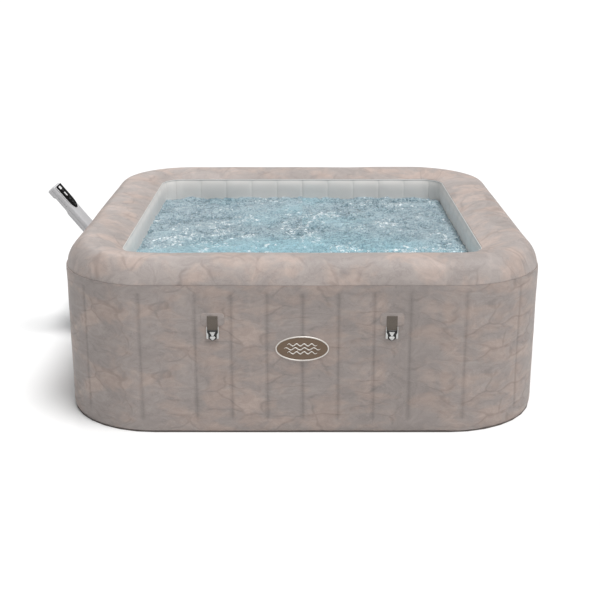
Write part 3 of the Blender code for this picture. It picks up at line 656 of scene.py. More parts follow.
def outerWallSkin():
    # half-width = wall + weld envelope * (pillow - groove) - pinches at the top seam and the base
    place, near, wide = clusteredStations(weldStations(tub["outerWelds"], (0.5,)), 24)
    share = np.linspace(0, 1, 46)
    low, high = 0.003, tub["seamZ"]
    height = (low + (high - low) * (share - 0.06 * np.sin(2 * np.pi * share)))[:, None]
    (weldLow, weldHigh), edge, width = wallSkin["welds"], wallSkin["weldEnd"], wallSkin["grooveWidth"]
    envelope = smoothStep(weldLow - edge, weldLow + edge, height)
    envelope = envelope * (1 - smoothStep(weldHigh - edge, weldHigh + edge, height))
    pillow = wallSkin["pillow"] * (1 - (1 - 2 * near / wide) ** 4)[None]
    groove = wallSkin["groove"] * bell(near, width)[None]
    pinch, fade = wallSkin["seamPinch"]
    pinched = pinch * np.exp(-(high - height) / fade)
    pinch, fade = wallSkin["basePinch"]
    pinched = pinched + pinch * np.exp(-(height - low) / fade)
    along = place[None]
    crease = 0.0009 * softNoise(along * 9, height * 14, 3)
    crease = crease + 0.0004 * softNoise(along * 40, height * 30, 4)
    puckers = 0.0009 * softNoise(along * 70, height * 9, 5) * np.exp(-(high - height) / 0.03)
    offset = envelope * (pillow - groove) + (1 - envelope) * wallSkin["plain"] - pinched
    offset = offset + crease + puckers + wallSkin["out"]
    clipAcross, clipUp = wallSkin["clipPlace"]
    fromClip = np.abs(np.abs((along + tub["pitch"] / 2) % tub["pitch"] - tub["pitch"] / 2) - clipAcross)
    flat = 1 - smoothStep(wallSkin["clipHalf"], wallSkin["clipHalf"] + wallSkin["clipFade"], fromClip)
    flat = flat * bump(height, *wallSkin["clipSpan"], wallSkin["clipFade"])
    offset = offset + (wallSkin["clipFlat"] - offset) * flat
    # painted shade that the print's material reads: darker along the weld grooves, widening to their ends,
    # under the ring's seam, along the base and around the clips
    ends = np.abs(height / (weldLow + weldHigh) - 0.5) * 2
    shadeLine = bell(near[None], width * (1 + 0.75 * ends))
    # painted shade under the ring's seam and painted contact shade along the base
    seams = 0.45 * np.exp(-(high - height) / 0.012) + 0.4 * np.exp(-(height - low) / 0.006)
    # painted shadow around each clip
    clips = 0.55 * bell(fromClip, 0.03) * bell(height - clipUp, 0.034)
    paintedShade = np.clip(envelope * shadeLine + seams + clips, 0, 1)
    extra = {"paintedShade": np.concatenate([paintedShade, paintedShade[:1], paintedShade[-1:], paintedShade[:1]])}
    backHalf = tub["wallHalf"] - wallSkin["thickness"]
    mesh = wallMesh("outerWallSkin", place, tub["wallHalf"] + offset, height, backHalf, extra)
    finishMesh(mesh, "shadedWallStone", "stone_vinyl", "outer_wall", sharp=70)


# top ring

rimSkin = {
    "thickness": 0.005,
    "lip": 0.004,               # radius of the roll at the inner edge
    "seamPinch": 0.0017,
    "wave": 0.0016,
    "pucker": 0.0015,
}


def rimSection(inset, outerRows, innerRows):
    # an ellipse from the seam to the crest, a parabola from the crest to the lip, then a quarter circle down
    centreZ = tub["rimTopZ"] - tub["rimRound"]
    width = tub["rimHalf"] - tub["crestHalf"] - inset
    tall = tub["rimRound"] - inset
    start = math.asin((tub["seamZ"] + 0.0006 - centreZ) / tall)
    turn = np.linspace(start, np.pi / 2, outerRows)
    outer = np.column_stack([tub["crestHalf"] + width * np.cos(turn), centreZ + tall * np.sin(turn)])
    share = np.linspace(0, 1, innerRows + 1)[1:]
    lip = rimSkin["lip"]
    innerHalf = tub["linerHalf"] + 0.0012 + lip
    drop = tub["rimTopZ"] - tub["linerTopZ"] - lip * 0.4
    across = tub["crestHalf"] + (innerHalf - tub["crestHalf"]) * share
    inner = np.column_stack([across, tub["rimTopZ"] - inset - drop * share**2])
    roll = np.linspace(0.35, np.pi / 2, 5)
    radius = lip - inset
    curl = np.column_stack([innerHalf - radius * np.sin(roll), inner[-1, 1] - radius * (1 - np.cos(roll))])
    return np.concatenate([outer, inner, curl])


def topRingSkin():
    # the section swept round the plan, moved along its normal by soft waves, and by puckers at both seams
    place, near, wide = clusteredStations(weldStations(tub["outerWelds"], (0.25, 0.5, 0.75)), 20)
    section = rimSection(0, 26, 26)
    step = np.gradient(section, axis=0)
    normal = np.column_stack([-step[:, 1], step[:, 0]]) * -1
    normal /= np.linalg.norm(normal, axis=1, keepdims=True)
    run = np.concatenate([[0], np.cumsum(np.linalg.norm(np.diff(section, axis=0), axis=1))])[:, None]
    fromEnd = run[-1] - run
    wave = rimSkin["wave"] * softNoise(place[None] * 6, run * 9, 11)
    fold = softNoise(place[None] * 60 + 6 * softNoise(place[None] * 7, run * 8, 12), run * 7, 13)
    fine = softNoise(place[None] * 130, run * 10, 14)
    beside = np.exp(-run / 0.035) + 0.6 * np.exp(-fromEnd / 0.035)
    pucker = rimSkin["pucker"] * beside * (0.7 * fold + 0.3 * fine)
    settle = smoothStep(0, 0.012, run) * smoothStep(0, 0.01, fromEnd)
    pinch = rimSkin["seamPinch"] * np.exp(-run / 0.008)
    offset = (wave + pucker - 0.0012) * settle
    half = section[:, :1] + normal[:, :1] * offset - pinch
    height = section[:, 1:] + normal[:, 1:] * offset
    outer = skinPoints(place, half, height)
    inside = rimSection(rimSkin["thickness"], 6, 5)[::-1]
    back = skinPoints(place, inside[:, :1] + 0 * place[None], inside[:, 1:])
    points = np.concatenate([outer, back, outer[:1]])
    # the print lies flat on the ring, unrolled from its crest along each normal
    crestRun = run[25, 0]
    back = np.linspace(crestRun - run[-1, 0], crestRun, len(inside))
    reach = np.concatenate([crestRun - run[:, 0], back, [crestRun]])
    point, outward = alongPlan(place)
    uv = point[None] + (tub["crestHalf"] - tub["flat"] + reach)[:, None, None] * outward[None]
    finishMesh(gridMesh("topRingSkin", points, uv), "litRimStone", "stone_vinyl", "top_ring", sharp=70)


# inner wall

linerSkin = {"pillow": 0.0022, "groove": 0.0011, "grooveWidth": 0.0028, "bulge": 0.006, "bulgeDeep": 0.05}


def linerWallSkin():
    # the same pillows as the outer wall, standing out towards the water
    offsets = [offset * tub["flat"] / tub["basinFlat"] for offset in tub["linerWelds"]]
    place, near, wide = clusteredStations(weldStations(offsets, (0.3, 0.7)), 16)
    top, low = tub["linerTopZ"] - 0.004, 0.003
    height = np.concatenate([np.linspace(top, 0.46, 20), np.linspace(0.44, low, 10)])[:, None]
    pillow = linerSkin["pillow"] * (1 - (1 - 2 * near / wide) ** 4)[None]
    groove = linerSkin["groove"] * bell(near, linerSkin["grooveWidth"])[None]
    fade = smoothStep(0, 0.02, top - height)
    bulge = linerSkin["bulge"] * np.sin(np.pi / 2 * np.clip((top - height) / linerSkin["bulgeDeep"], 0, 1))
    crease = 0.0005 * softNoise(place[None] * 12, height * 20, 21)
    half = tub["linerHalf"] - 0.0002 - bulge - fade * (pillow - groove + 0.0006 + crease)
    mesh = wallMesh("linerWallSkin", place, half, height, tub["linerHalf"] + 0.0004)
    finishMesh(mesh, "greyVinyl", "grey_vinyl", "inner_wall", sharp=70)


# welts: closed bands of round section along the plan

def welt(name, half, height, radiusOut, radiusUp, *finish):
    # an ellipse of radiusOut x radiusUp carried round the plan
    place, _, _ = clusteredStations(weldStations((0, 0.2, 0.4), (0, 0.25, 0.5, 0.75, 1)), 8)
    turn = np.linspace(0, 2 * np.pi, 13)[:, None]
    half = half + radiusOut * np.cos(turn) + 0 * place[None]
    points = skinPoints(place, half, height + radiusUp * np.sin(turn))
    finishMesh(gridMesh(name, points), *finish, sharp=70)


outerWallSkin()
topRingSkin()
linerWallSkin()
baseHalf, edgeHalf = tub["wallHalf"] - 0.006, tub["linerHalf"] + 0.0006
welt("baseWelt", baseHalf, 0.0032, 0.0036, 0.003, "darkVinyl", "dark_vinyl", "base_weld_band")
welt("linerWelt", edgeHalf, tub["linerTopZ"] - 0.0045, 0.0026, 0.0026, "linerEdge", "grey_vinyl")
print("skins made")


# water

bath = {
    "half": tub["linerHalf"] - 0.0055,
    "corner": tub["basinCorner"] - 0.0055,
    "levelZ": 0.5238,
    "count": 300,
    "skirt": 0.03,
    "waves": ((0.19, 0.0042), (0.085, 0.004), (0.04, 0.0036), (0.021, 0.0024), (0.0115, 0.0012)),
}


def bathHeight(x, y):
    # ridged noise at five sizes, each turned from the last and bent by slow swirls
    bend = 0.03
    bentX = x + bend * softNoise(x * 9, y * 9, 31)
    bentY = y + bend * softNoise(x * 9, y * 9, 32)
    height = np.zeros_like(x)
    sharp = np.zeros_like(x)
    for step, (size, tall) in enumerate(bath["waves"]):
        turn = 0.7 + 1.3 * step
        alongX = (bentX * math.cos(turn) - bentY * math.sin(turn)) / size
        alongY = (bentX * math.sin(turn) + bentY * math.cos(turn)) / size
        ridge = 1 - 2 * np.abs(softNoise(alongX + 40, alongY + 40, 40 + step))
        height += tall * ridge
        if step >= 1:
            sharp += ridge / (len(bath["waves"]) - 1)
    return height, sharp


def bathWater():
    # a square grid whose corners are drawn in to quarter circles, its rim turned down into a skirt
    line = np.linspace(-bath["half"], bath["half"], bath["count"])
    y, x = np.meshgrid(line, line, indexing="ij")
    flat = bath["half"] - bath["corner"]
    overX, overY = np.abs(x) - flat, np.abs(y) - flat
    inCorner = (overX > 0) & (overY > 0)
    far = np.hypot(overX, overY)
    draw = np.where(inCorner, np.maximum(overX, overY) / np.maximum(far, 1e-9), 1)
    x = np.where(inCorner, np.sign(x) * (flat + overX * draw), x)
    y = np.where(inCorner, np.sign(y) * (flat + overY * draw), y)
    height, sharp = bathHeight(x, y)
    patches = softNoise(x * 6 + 9, y * 6 + 9, 51) + 0.5 * softNoise(x * 15, y * 15, 52)
    patches = smoothStep(-0.35, 0.65, patches)
    frontward = smoothStep(-0.2, 0.75, -y / bath["half"])
    foam = smoothStep(0.05, 0.6, sharp) * (0.4 + 0.6 * patches) + 0.25 * frontward * patches
    # more teal towards the front and the middle, less towards the left and right sides, in random patches
    tealShare = 0.75 * frontward - 0.55 * (x / bath["half"]) ** 2 + 0.3 * softNoise(x * 5, y * 5, 53)
    # painted light on the crests and painted shade in the troughs, from the height
    extra = {"foam": np.clip(foam, 0, 1), "paintedCrestLight": np.clip(0.5 + height / 0.02, 0, 1)}
    extra["tealShare"] = smoothStep(-0.35, 0.8, tealShare)
    top = np.stack([x, y, bath["levelZ"] + height], axis=-1)
    points = np.pad(top, ((1, 1), (1, 1), (0, 0)), mode="edge")
    rim = np.ones(points.shape[:2], bool)
    rim[1:-1, 1:-1] = False
    points[rim, 2] = bath["levelZ"] - bath["skirt"]
    extra = {label: np.pad(value, 1, mode="edge") for label, value in extra.items()}
    mesh = gridMesh("bathWater", points, None, extra)
    bm = bmesh.new()
    bm.from_mesh(mesh)
    bmesh.ops.remove_doubles(bm, verts=bm.verts, dist=1e-6)
    bmesh.ops.contextual_create(bm, geom=[edge for edge in bm.edges if edge.is_boundary])
    bm.to_mesh(mesh)
    bm.free()
    finishMesh(mesh, "water", sharp=180)


bathWater()
print("water made")


# clips

# each clip: the side, in quarter turns from the front, and the way along it
clipPlaces = {
    "front_left": (0, -1), "front_right": (0, 1),
    "right_front": (1, -1), "right_back": (1, 1),
    "back_right": (2, -1), "back_left": (2, 1),
    "left_front": (3, 1),
}

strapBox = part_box("strap_front_left")
clip = {
    "topZ": strapBox[1].z,
    "strapHalf": (strapBox[1].x - strapBox[0].x) / 2,
    "strapLength": strapBox[1].z - strapBox[0].z,
    "strapOut": 0.0027,         # middle of the strap, out from the wall
    "strapThick": 0.0014,
    "patchHalf": (0.043, 0.024),
    "patchCorner": 0.015,
    "patchAbove": 0.011,        # how far the patch stands above the strap's top
    "selvedge": 0.28,           # power that squares the strap's section
    "fold": (0.0036, 0.0026),   # place and width of the fold at the sewn top
    "stitch": (0.0085, 0.0009),
}


def onSide(quarter, offset):
    # a function that puts (along the side, up, out) points on a side of the wall
    turn = quarter * math.pi / 2
    cosine, sine = math.cos(turn), math.sin(turn)

    def place(points):
        along, up, out = offset + points[:, 0], points[:, 1], -(tub["wallHalf"] + points[:, 2])
        return np.column_stack([along * cosine - out * sine, along * sine + out * cosine, up])

    return place


def clipPatch(label, place):
    # a thin pad with a rounded edge, welded on the wall behind the strap
    halfX, halfZ = clip["patchHalf"]
    outline = roundedOutline(halfX, halfZ, clip["patchCorner"])
    outline = outline + (0, clip["topZ"] + clip["patchAbove"] - halfZ)
    steps = [(0, -0.006), (0, 0.0008), (0.0008, 0.0015), (0.002, 0.0018)]
    mesh = plateMesh("clipPatch_" + label, outline, steps, place)
    layer = mesh.uv_layers.new(name="UVMap")
    across = np.array([(v.co.x - v.co.y, v.co.z + 0.37) for v in mesh.vertices])
    loops = np.zeros(len(mesh.loops), np.int32)
    mesh.loops.foreach_get("vertex_index", loops)
    layer.data.foreach_set("uv", across[loops].astype(np.float32).ravel())
    finishMesh(mesh, "shadedWallStone", "stone_vinyl", sharp=50)


def clipStrap(label, place):
    # a flat tape with rounded selvedges; it curls slightly out at its sewn top fold
    half, thick = clip["strapHalf"], clip["strapThick"] / 2
    length = clip["strapLength"]
    run = np.concatenate([np.linspace(0, 0.012, 14), np.linspace(0.014, length, 14)])[:, None]
    turn = np.linspace(0, 2 * np.pi, 33)[None]
    across = half * flattened(np.cos(turn), clip["selvedge"])
    (folded, foldWide), (stitched, stitchWide) = clip["fold"], clip["stitch"]
    fold = 1 + 1.1 * bell(run - folded, foldWide) - 0.45 * bell(run - stitched, stitchWide)
    out = thick * fold * flattened(np.sin(turn), 0.5)
    out = out + clip["strapOut"] + 0.0006 * np.sin(np.pi * run / length) + thick * (fold - 1) * 0.6
    grid = closedEnds(np.stack(np.broadcast_arrays(across, clip["topZ"] - run, out), axis=-1))
    rows = np.concatenate([[[0]], run, [[length]]])
    uv = np.stack(np.broadcast_arrays(grid[..., 0], rows), axis=-1)
    mesh = gridMesh("strapTape_" + label, place(grid.reshape(-1, 3)).reshape(grid.shape), uv)
    finishMesh(mesh, "webbing", "webbing", "strap_" + label, "clip_" + label, 60)


def mirrored(points):
    # the right half of an outline from its left half, which runs from the bottom middle up to the top middle
    left = np.array(points, float)
    return np.concatenate([left, (left * (-1, 1))[::-1]])[::-1]


# the buckle's parts in millimetres: (across, up) from the strap's top edge, and (inset, out) for each step
buckleShapes = {
    "base": ((-1, -92.5), (-8.5, -89), (-13.5, -85), (-19.2, -80), (-19.2, -53), (-1, -53)),
    "wedge": ((-1, -76), (-3.4, -74.5), (-4.4, -70.5), (-10, -60), (-9.8, -59), (-1, -59)),
    "heart": ((-0.7, -90), (-5.4, -86.2), (-9.4, -81.5), (-9.8, -78.5), (-8, -76.5), (-4.8, -75.8),
              (-1.2, -77)),
    "arm": ((-22.4, -80.5), (-20.5, -84.2), (-17, -84.6), (-15, -82.5), (-15, -69), (-17.8, -64),
            (-19.4, -60), (-19.4, -40), (-20.6, -39), (-22, -41), (-22.2, -60)),
}
buckleSteps = {
    "base": ((0.8, 1.2), (0, 2), (0, 5), (1, 6)),
    "wedge": ((0, 5.6), (0, 7.2), (1, 8)),
    "heart": ((0, 5.6), (0, 7.8), (1, 8.8), (2.6, 9.1)),
    "arm": ((0.6, 1.2), (0, 2), (0, 7.8), (0.4, 8.8), (1.2, 9.2)),
}


def clipBuckle(label, place):
    # a dark plate, two light side arms, and a light wedge and heart that leave two slanted slots
    parts = {name: mirrored(buckleShapes[name]) for name in ("base", "wedge", "heart")}
    arm = np.array(buckleShapes["arm"])
    parts["armLeft"] = arm
    parts["armRight"] = (arm * (-1, 1))[::-1]
    for name, outline in parts.items():
        steps = np.array(buckleSteps["arm" if name.startswith("arm") else name]) / 1000
        outline = outline / 1000 + (0, clip["topZ"])
        mesh = plateMesh(f"buckle{name.capitalize()}_{label}", outline, steps, place)
        dark = name == "base"
        node = "buckle_" + label if dark else None
        finishMesh(mesh, "clipBlack" if dark else "clipGrey", "clip_plastic", node, "clip_" + label, 35)


for label, (quarter, way) in clipPlaces.items():
    place = onSide(quarter, way * wallSkin["clipPlace"][0])
    clipPatch(label, place)
    clipStrap(label, place)
    clipBuckle(label, place)
print("clips made")


# badge

badge = {
    "z": 0.329,
    "semi": (0.0935, 0.0445),
    "rimRadius": 0.0025,
    "waveHalf": 0.066,          # half the middle wave's length; the others are shorter
    "waveTall": 0.0042,
    "waveGap": 0.015,
    "waveRadius": 0.002,
}


def badgePieces():
    place = onSide(0, 0)
    outline = ellipseOutline(*badge["semi"]) + (0, badge["z"])
    steps = [(0, -0.003), (0, 0.0036), (0.0008, 0.0044), (0.006, 0.005), (0.02, 0.0054)]
    mesh = plateMesh("badgePlate", outline, steps, place)
    finishMesh(mesh, "badgeBrown", "badge_brown", "badge_plate", sharp=35)
    middle = ellipseOutline(badge["semi"][0] + 0.0004, badge["semi"][1] + 0.0004, 160) + (0, badge["z"])
    path = place(np.column_stack([middle, np.full(len(middle), 0.0036)]))
    mesh = sweptMesh("badgeRim", path, badge["rimRadius"], 14, True)
    finishMesh(mesh, "badgeSilver", "badge_silver", "badge_rim", sharp=60)
    # a plain water mark: short wavy lines that taper to their ends
    run = np.linspace(-1, 1, 70)
    radius = badge["waveRadius"] * np.sqrt(np.clip(1 - run**4, 0.02, 1))
    for number in range(3):
        reach = badge["waveHalf"] - 0.012 * abs(number - 1)
        up = badge["z"] + badge["waveGap"] * (1 - number) + badge["waveTall"] * np.sin(4 * np.pi * run)
        path = place(np.column_stack([reach * run, up, np.full(len(run), 0.0054)]))
        mesh = sweptMesh(f"badgeWave{number + 1}", path, radius, 8)
        finishMesh(mesh, "badgeSilver", "badge_silver", sharp=60)


badgePieces()
print("badge made")


# control arm

arm = {
    "base": np.array((-0.95, 0.175, 0.4305)),
    "lean": math.radians(38.65),
    "stub": 0.037,
    "bendRadius": 0.06,
    "straight": 0.2357,
    "halfWidth": 0.0525,
    "halfDepth": 0.0212,
    "squareness": 6,
    "endRound": 0.007,
    "hollow": 0.006,           # depth of the hand hold in the back
    "panelStart": 0.006,
    "panelLength": 0.1305,
    "panelHalf": 0.0465,
    "panelStraight": 0.085,
}


armUp = np.array((-math.sin(arm["lean"]), 0, math.cos(arm["lean"])))
armOut = np.array((math.cos(arm["lean"]), 0, math.sin(arm["lean"])))
armBend = arm["bendRadius"] * np.array((math.cos(arm["lean"]) - 1, 0, math.sin(arm["lean"])))
armTop = arm["base"] + (0, 0, arm["stub"]) + armBend + armUp * arm["straight"]


def armPoints(along, across, above):
    # along the mid-line from the head's end: straight, then an arc to the underside, then straight
    radius = arm["bendRadius"]
    bent = np.clip((along - arm["straight"]) / radius, 0, arm["lean"])
    rest = np.maximum(along - arm["straight"] - arm["lean"] * radius, 0)
    reach = radius + above
    down = np.minimum(along, arm["straight"]) + reach * np.sin(bent) + rest * np.cos(bent)
    out = reach * np.cos(bent) - radius - rest * np.sin(bent)
    side = across[..., None] * np.array((0, 1, 0))
    return armTop + side - down[..., None] * armUp + out[..., None] * armOut


def armShell(name, above, node):
    # half of a squared ellipse |x/a|^n + |z/b|^n = 1 carried down the arm, closed along the parting line
    total = arm["straight"] + arm["lean"] * arm["bendRadius"] + arm["stub"]
    rounding = np.linspace(0, np.pi / 2, 9)
    cap = arm["endRound"] * (1 - np.cos(rounding))
    shrink = arm["endRound"] * (1 - np.sin(rounding))
    along = np.concatenate([cap, np.linspace(arm["endRound"], total, 110)[1:]])
    inset = np.concatenate([shrink, np.zeros(109)])[:, None]
    sign = 1 if above else -1
    power = 2 / arm["squareness"]
    turn = np.linspace(0, np.pi, 49)[None]
    depth = arm["halfDepth"] - 0.75 * inset
    if not above:
        hollow = smoothStep(0.036, 0.048, along) * (1 - smoothStep(0.112, 0.136, along))
        depth = depth - arm["hollow"] * hollow[:, None]
    across = (arm["halfWidth"] - inset - 0.0005) * flattened(np.cos(turn), power)
    rise = np.maximum(depth * np.abs(np.sin(turn)) ** power, 0.0004)
    across = across - np.sign(across) * 0.0009 * bell(rise - 0.0004, 0.0011)    # the parting line
    along = along[:, None] + 0 * across
    grid = armPoints(along, across, sign * rise)
    floorLine = armPoints(along, across * 0.9, sign * (0.0002 + 0 * rise))
    points = np.concatenate([grid, floorLine[:, ::-1], grid[:, :1]], axis=1)
    finishMesh(gridMesh(name, closedEnds(points)), "casingGrey", "grey_plastic", node, sharp=32)


def panelOutline(inset, count=22):
    # straight sides from the square top to 55 % of the length, then half-width * sqrt(1 - t^2.2) to the tip
    half = arm["panelHalf"] - inset
    start = arm["panelStart"] + inset
    tip = arm["panelStart"] + arm["panelLength"] - inset
    shoulder = arm["panelStraight"]
    share = np.sin(np.linspace(0, np.pi / 2, count))
    width = half * np.sqrt(np.clip(1 - share**2.2, 0, 1))
    side = np.column_stack([width, -(shoulder + (tip - shoulder) * share)])
    corner = 0.004
    topRight = onCircle(np.linspace(0, np.pi / 2, 6), corner) + (half - corner, -start - corner)
    right = np.concatenate([side[::-1], topRight])
    return np.concatenate([right, (right * (-1, 1))[::-1][:-1]])


def onPanel(points):
    # (across, up from the panel's top, above the panel) points on the arm
    return armPoints(-points[:, 1], points[:, 0], arm["halfDepth"] + points[:, 2])


# each key: place down the panel from its top, length, width
panelKeys = {
    "key_timer": (0.0305, 0.008, 0.016),
    "key_select": (0.0515, 0.022, 0.013),
    "key_heater": (0.079, 0.01, 0.02),
    "key_filter": (0.097, 0.01, 0.018),
    "key_bubbles": (0.113, 0.009, 0.014),
}
keySteps = [(0, 0.00085), (0, 0.002), (0.0003, 0.0023), (0.0012, 0.0024)]


def roundedPad(name, centre, half, corner, steps, *finish):
    outline = roundedOutline(*half, corner) + centre
    finishMesh(plateMesh(name, outline, steps, onPanel), *finish, sharp=35)


def keyMark(key, centre):
    # a plain raised mark on each dark key: a ring, a dot or a bar
    name, top = "mark_" + key, keySteps[-1][1]
    if key == "key_timer":
        path = ellipseOutline(0.0022, 0.0022, 28) + centre
        mesh = sweptMesh(name, onPanel(np.column_stack([path, np.full(len(path), top)])), 0.0003, 6, True)
    else:
        outline = roundedOutline(0.0042 if key == "key_heater" else 0.003, 0.0008, 0.0006, 5)
        inset = 0.0003
        if key == "key_bubbles":
            outline = ellipseOutline(0.0017, 0.0017, 24)
            inset = 0.0004
        steps = [(0, top - 0.0002), (0, top + 0.0001), (inset, top + 0.0003)]
        mesh = plateMesh(name, outline + centre, steps, onPanel)
    finishMesh(mesh, "iconGrey", "key_grey", body=key + "_body")


def armPieces():
    armShell("armFrontShell", True, "arm_front_shell")
    armShell("armBackShell", False, "arm_back_shell")
    steps = [(0, -0.0018), (0, 0.0003), (0.0004, 0.0007), (0.0012, 0.0009)]
    mesh = plateMesh("panelGlass", panelOutline(0.0006), steps, onPanel)
    finishMesh(mesh, "panelGloss", "panel_gloss", "panel_lens", sharp=35)
    edge = panelOutline(-0.0006)
    mesh = sweptMesh("panelBead", onPanel(np.column_stack([edge, np.zeros(len(edge))])), 0.0014, 10, True)
    finishMesh(mesh, "casingPale", "grey_plastic", sharp=60)
    steps = [(0, 0), (0, 0.0009), (0.0003, 0.0012)]
    centre = (0, -arm["panelStart"] - 0.0155)
    finish = ("displayWhite", "display_white")
    roundedPad("displayWindow", centre, (0.014, 0.008), 0.004, steps, *finish, "display_window")
    for key, (down, length, width) in panelKeys.items():
        centre = (0, -arm["panelStart"] - down)
        half = (width / 2 - 0.0004, length / 2 - 0.0004)
        white = key == "key_select"
        finish = ("displayWhite", "display_white") if white else ("keyGrey", "key_grey")
        roundedPad("cap_" + key, centre, half, 0.7 * min(half), keySteps, *finish, key, key + "_body")
        if not white:
            keyMark(key, np.array(centre))


armPieces()
print("arm made")


# pump casing

casingLow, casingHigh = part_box("pump_top_casing")
pump = {
    "innerX": casingHigh.x,
    "outerX": casingLow.x,
    "topX": -0.985,
    "lowY": casingLow.y,
    "highY": casingHigh.y,
    "baseZ": 0.012,
    "splitZ": 0.1,
    "shoulderZ": 0.29,
    "topZ": casingHigh.z,
    "cornerSteps": 14,
    "slats": 7,
    "slatHalf": (0.07, 0.0036),
    "slatPlace": (0.46, 0.135),         # y, and z of the lowest
    "slatPitch": 0.013,
    "feet": ((-0.955, 0.2), (-1.035, 0.24), (-1.035, 0.58), (-0.955, 0.6)),
    "screws": ((-0.995, 0.2), (-0.955, 0.3), (-1.035, 0.4), (-0.955, 0.5)),
}


def pumpOutline(height, inset=0):
    # a rectangle with four different corner radii that draws in over the shoulder as a quarter ellipse
    rise = np.clip((height - pump["shoulderZ"]) / (pump["topZ"] - pump["shoulderZ"]), 0, 1)
    shrink = 1 - math.sqrt(max(0, 1 - rise**2))
    outerX = pump["outerX"] + (pump["topX"] - pump["outerX"]) * shrink
    depth = pump["innerX"] - outerX
    low = np.array((outerX + inset, pump["lowY"] + 0.018 * shrink + inset))
    high = np.array((pump["innerX"] - inset, pump["highY"] - 0.05 * shrink - inset))
    front, back = min(0.135, depth - 0.02), min(0.05, depth - 0.02)
    radii = [max(radius - inset, 0.002) for radius in (0.015, back, front, 0.015)]
    quarter = np.linspace(0, np.pi / 2, pump["cornerSteps"])
    outline = []
    for turn, (radius, signX, signY) in enumerate(zip(radii, (-1, 1, 1, -1), (-1, -1, 1, 1))):
        sign = np.array((signX, signY))
        centre = np.where(sign < 0, high, low) + sign * radius
        outline.append(centre + radius * onCircle(quarter + turn * np.pi / 2))
    return closedUp(np.concatenate(outline))


def casingPiece(name, rings, node):
    # rings of (height, inset) over the pump's plan, closed to a point at both ends
    count = 4 * pump["cornerSteps"] + 1
    rows = [np.column_stack([pumpOutline(height, inset), np.full(count, height)]) for height, inset in rings]
    finishMesh(gridMesh(name, closedEnds(np.stack(rows))), "casingGrey", "grey_plastic", node, sharp=32)


def pumpCasing():
    base, split, top, shoulder = pump["baseZ"], pump["splitZ"], pump["topZ"], pump["shoulderZ"]
    rings = [(base, 0.01), (base, 0.006), (base + 0.002, 0.0025), (base + 0.006, 0.0006)]
    rings += [(height, 0.0004) for height in np.linspace(base + 0.01, split - 0.004, 10)]
    rings += [(split - 0.0022, 0.0006), (split - 0.0008, 0.0022), (split - 0.0006, 0.006)]
    casingPiece("pumpTray", rings, "pump_base_casing")
    rings = [(split + 0.0008, 0.006), (split + 0.001, 0.0022), (split + 0.003, 0.0006)]
    rings += [(height, 0.0004) for height in np.linspace(split + 0.006, shoulder, 16)]
    turns = np.linspace(0, np.pi / 2, 22)[1:]
    rings += [(shoulder + (top - shoulder) * math.sin(turn), 0.0004) for turn in turns]
    casingPiece("pumpCover", rings + [(top, 0.006), (top, 0.014)], "pump_top_casing")


def pumpOutside(points):
    # (y, z, out) points on the casing's long outer face
    return np.column_stack([pump["outerX"] - points[:, 2], points[:, 0], points[:, 1]])


def underTray(name, places, z, profile, sides, *finish):
    # the same turned piece at each place
    for number, (x, y) in enumerate(places):
        finishMesh(turnedMesh(f"{name}{number + 1}", profile, (x, y, z), (0, 0, 1), sides), *finish)


def pumpTrim():
    # intake slats on the outer face, four feet, screws under the tray, the mains inlet's gland
    y, z = pump["slatPlace"]
    steps = [(0, -0.0014), (0, -0.0003), (0.0008, 0.0002)]
    for number in range(pump["slats"]):
        outline = roundedOutline(*pump["slatHalf"], 0.0034) + (y, z + pump["slatPitch"] * number)
        mesh = plateMesh(f"intakeSlat{number + 1}", outline, steps, pumpOutside)
        finishMesh(mesh, "moulding", "grey_plastic", sharp=35)
    profile = [(0, 0), (0.012, 0), (0.0135, 0.0015), (0.0145, 0.013), (0, 0.013)]
    underTray("rubberFoot", pump["feet"], 0, profile, 48, "rubber", "rubber")
    profile = [(0, 0), (0.0032, 0), (0.0042, 0.0012), (0.0042, 0.004), (0, 0.004)]
    underTray("trayScrew", pump["screws"], 0.0092, profile, 24, "steel", "steel")
    profile = [(0.0035, -0.002), (0.004, 0.0136), (0.0075, 0.014), (0.01, 0.012), (0.011, 0.006),
               (0.012, 0.005), (0.012, 0.0006), (0.0035, 0.0006), (0.0035, -0.002)]
    mesh = turnedMesh("cordGland", profile, (-1, pump["highY"] + 0.0004, 0.06), (0, 1, 0))
    finishMesh(mesh, "rubber", "rubber", "cord_inlet")


pumpCasing()
pumpTrim()


# caps, nuts and fittings on the walls

fittings = {
    "wallX": -tub["wallHalf"],
    "airValve": (-0.064, 0.42, 0.014),      # y, z, barrel radius
    "drain": (-0.192, 0.062, 0.018),
    "nuts": {"inlet_nut": (0.192, 0.16), "outlet_nut": (0.4845, 0.16), "air_nut": (0.3205, 0.3)},
}


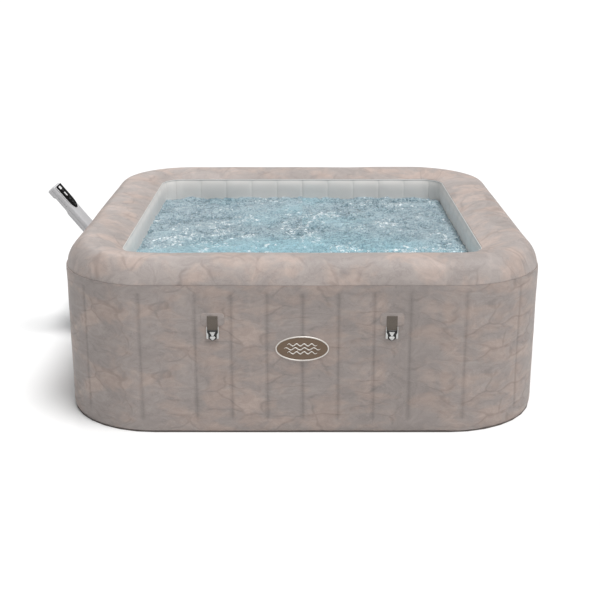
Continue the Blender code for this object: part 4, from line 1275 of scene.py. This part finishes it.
def screwFitting(name, capName, values, bodyNode, capNode, depth):
    # a flanged barrel in the wall, and a ribbed cap on its neck
    y, z, radius = values
    centre = (fittings["wallX"], y, z)
    flange, neck = radius + 0.008, radius - 0.0015
    profile = [(0, -depth), (radius, -depth), (radius, 0.0002), (flange - 0.001, 0.0002), (flange, 0.001),
               (flange - 0.0005, 0.0022), (flange - 0.002, 0.003), (neck + 0.001, 0.0032), (neck, 0.004),
               (neck, 0.009), (0, 0.009)]
    finishMesh(turnedMesh(name, profile, centre, (-1, 0, 0)), "moulding", "dark_plastic", bodyNode, sharp=35)
    inner, outer = neck + 0.0006, radius + 0.0033
    profile = [(0, 0.0094), (inner, 0.0094), (inner, 0.0036), (outer - 0.0006, 0.0036), (outer, 0.0042),
               (outer, 0.0112), (outer - 0.0008, 0.0124), (outer - 0.003, 0.0129), (0.006, 0.0129),
               (0.005, 0.0121), (0, 0.0121)]
    mesh = turnedMesh(capName, profile, centre, (-1, 0, 0), 120, (20, 0.0009, [3, 4, 5, 6]))
    finishMesh(mesh, "moulding", "dark_plastic", capNode, capNode + "_body", 35)


def unionNut(name, y, z):
    # a ring with broad grips
    grip, bore = 0.0358, 0.0258
    chamfer = grip - 0.0015
    profile = [(bore, 0.0004), (chamfer, 0.0004), (grip, 0.002), (grip, 0.021), (chamfer, 0.0226),
               (bore, 0.0226), (bore, 0.0004)]
    centre = (fittings["wallX"] - 0.0035, y, z)
    mesh = turnedMesh("grip_" + name, profile, centre, (-1, 0, 0), 120, (12, 0.0022, [1, 2, 3, 4]))
    finishMesh(mesh, "moulding", "dark_plastic", name, name + "_body", 35)


screwFitting("airValveSeat", "airValveLid", fittings["airValve"], "air_valve_body", "air_valve_cap", 0.02)
screwFitting("drainSeat", "drainLid", fittings["drain"], "drain_fitting", "drain_cap", 0.246)
for name, (y, z) in fittings["nuts"].items():
    unionNut(name, y, z)
print("pump and fittings made")


# finishes of the CAD nodes that stay

keptFinishes = {
    "darkVinyl": ("ground_sheet", "wall_baffles"),
    "moulding": ("inlet_pipe", "outlet_pipe", "air_hose", "port_manifold", "pump_volute", "blower_scroll"),
    "steel": ("impeller", "circulation_motor", "heater_tube", "blower_fan", "blower_motor"),
    "paper": ("filter_cartridge",),
    "board": ("control_board",),
    "casingPale": ("basin_floor", "bubble_channel", "filter_housing", "filter_cover", "outlet_screen"),
}
for finish, names in keptFinishes.items():
    for name in names:
        mesh = cadNodes[name].data
        mesh.materials.clear()
        mesh.materials.append(finishes[finish])
print("kept nodes finished")
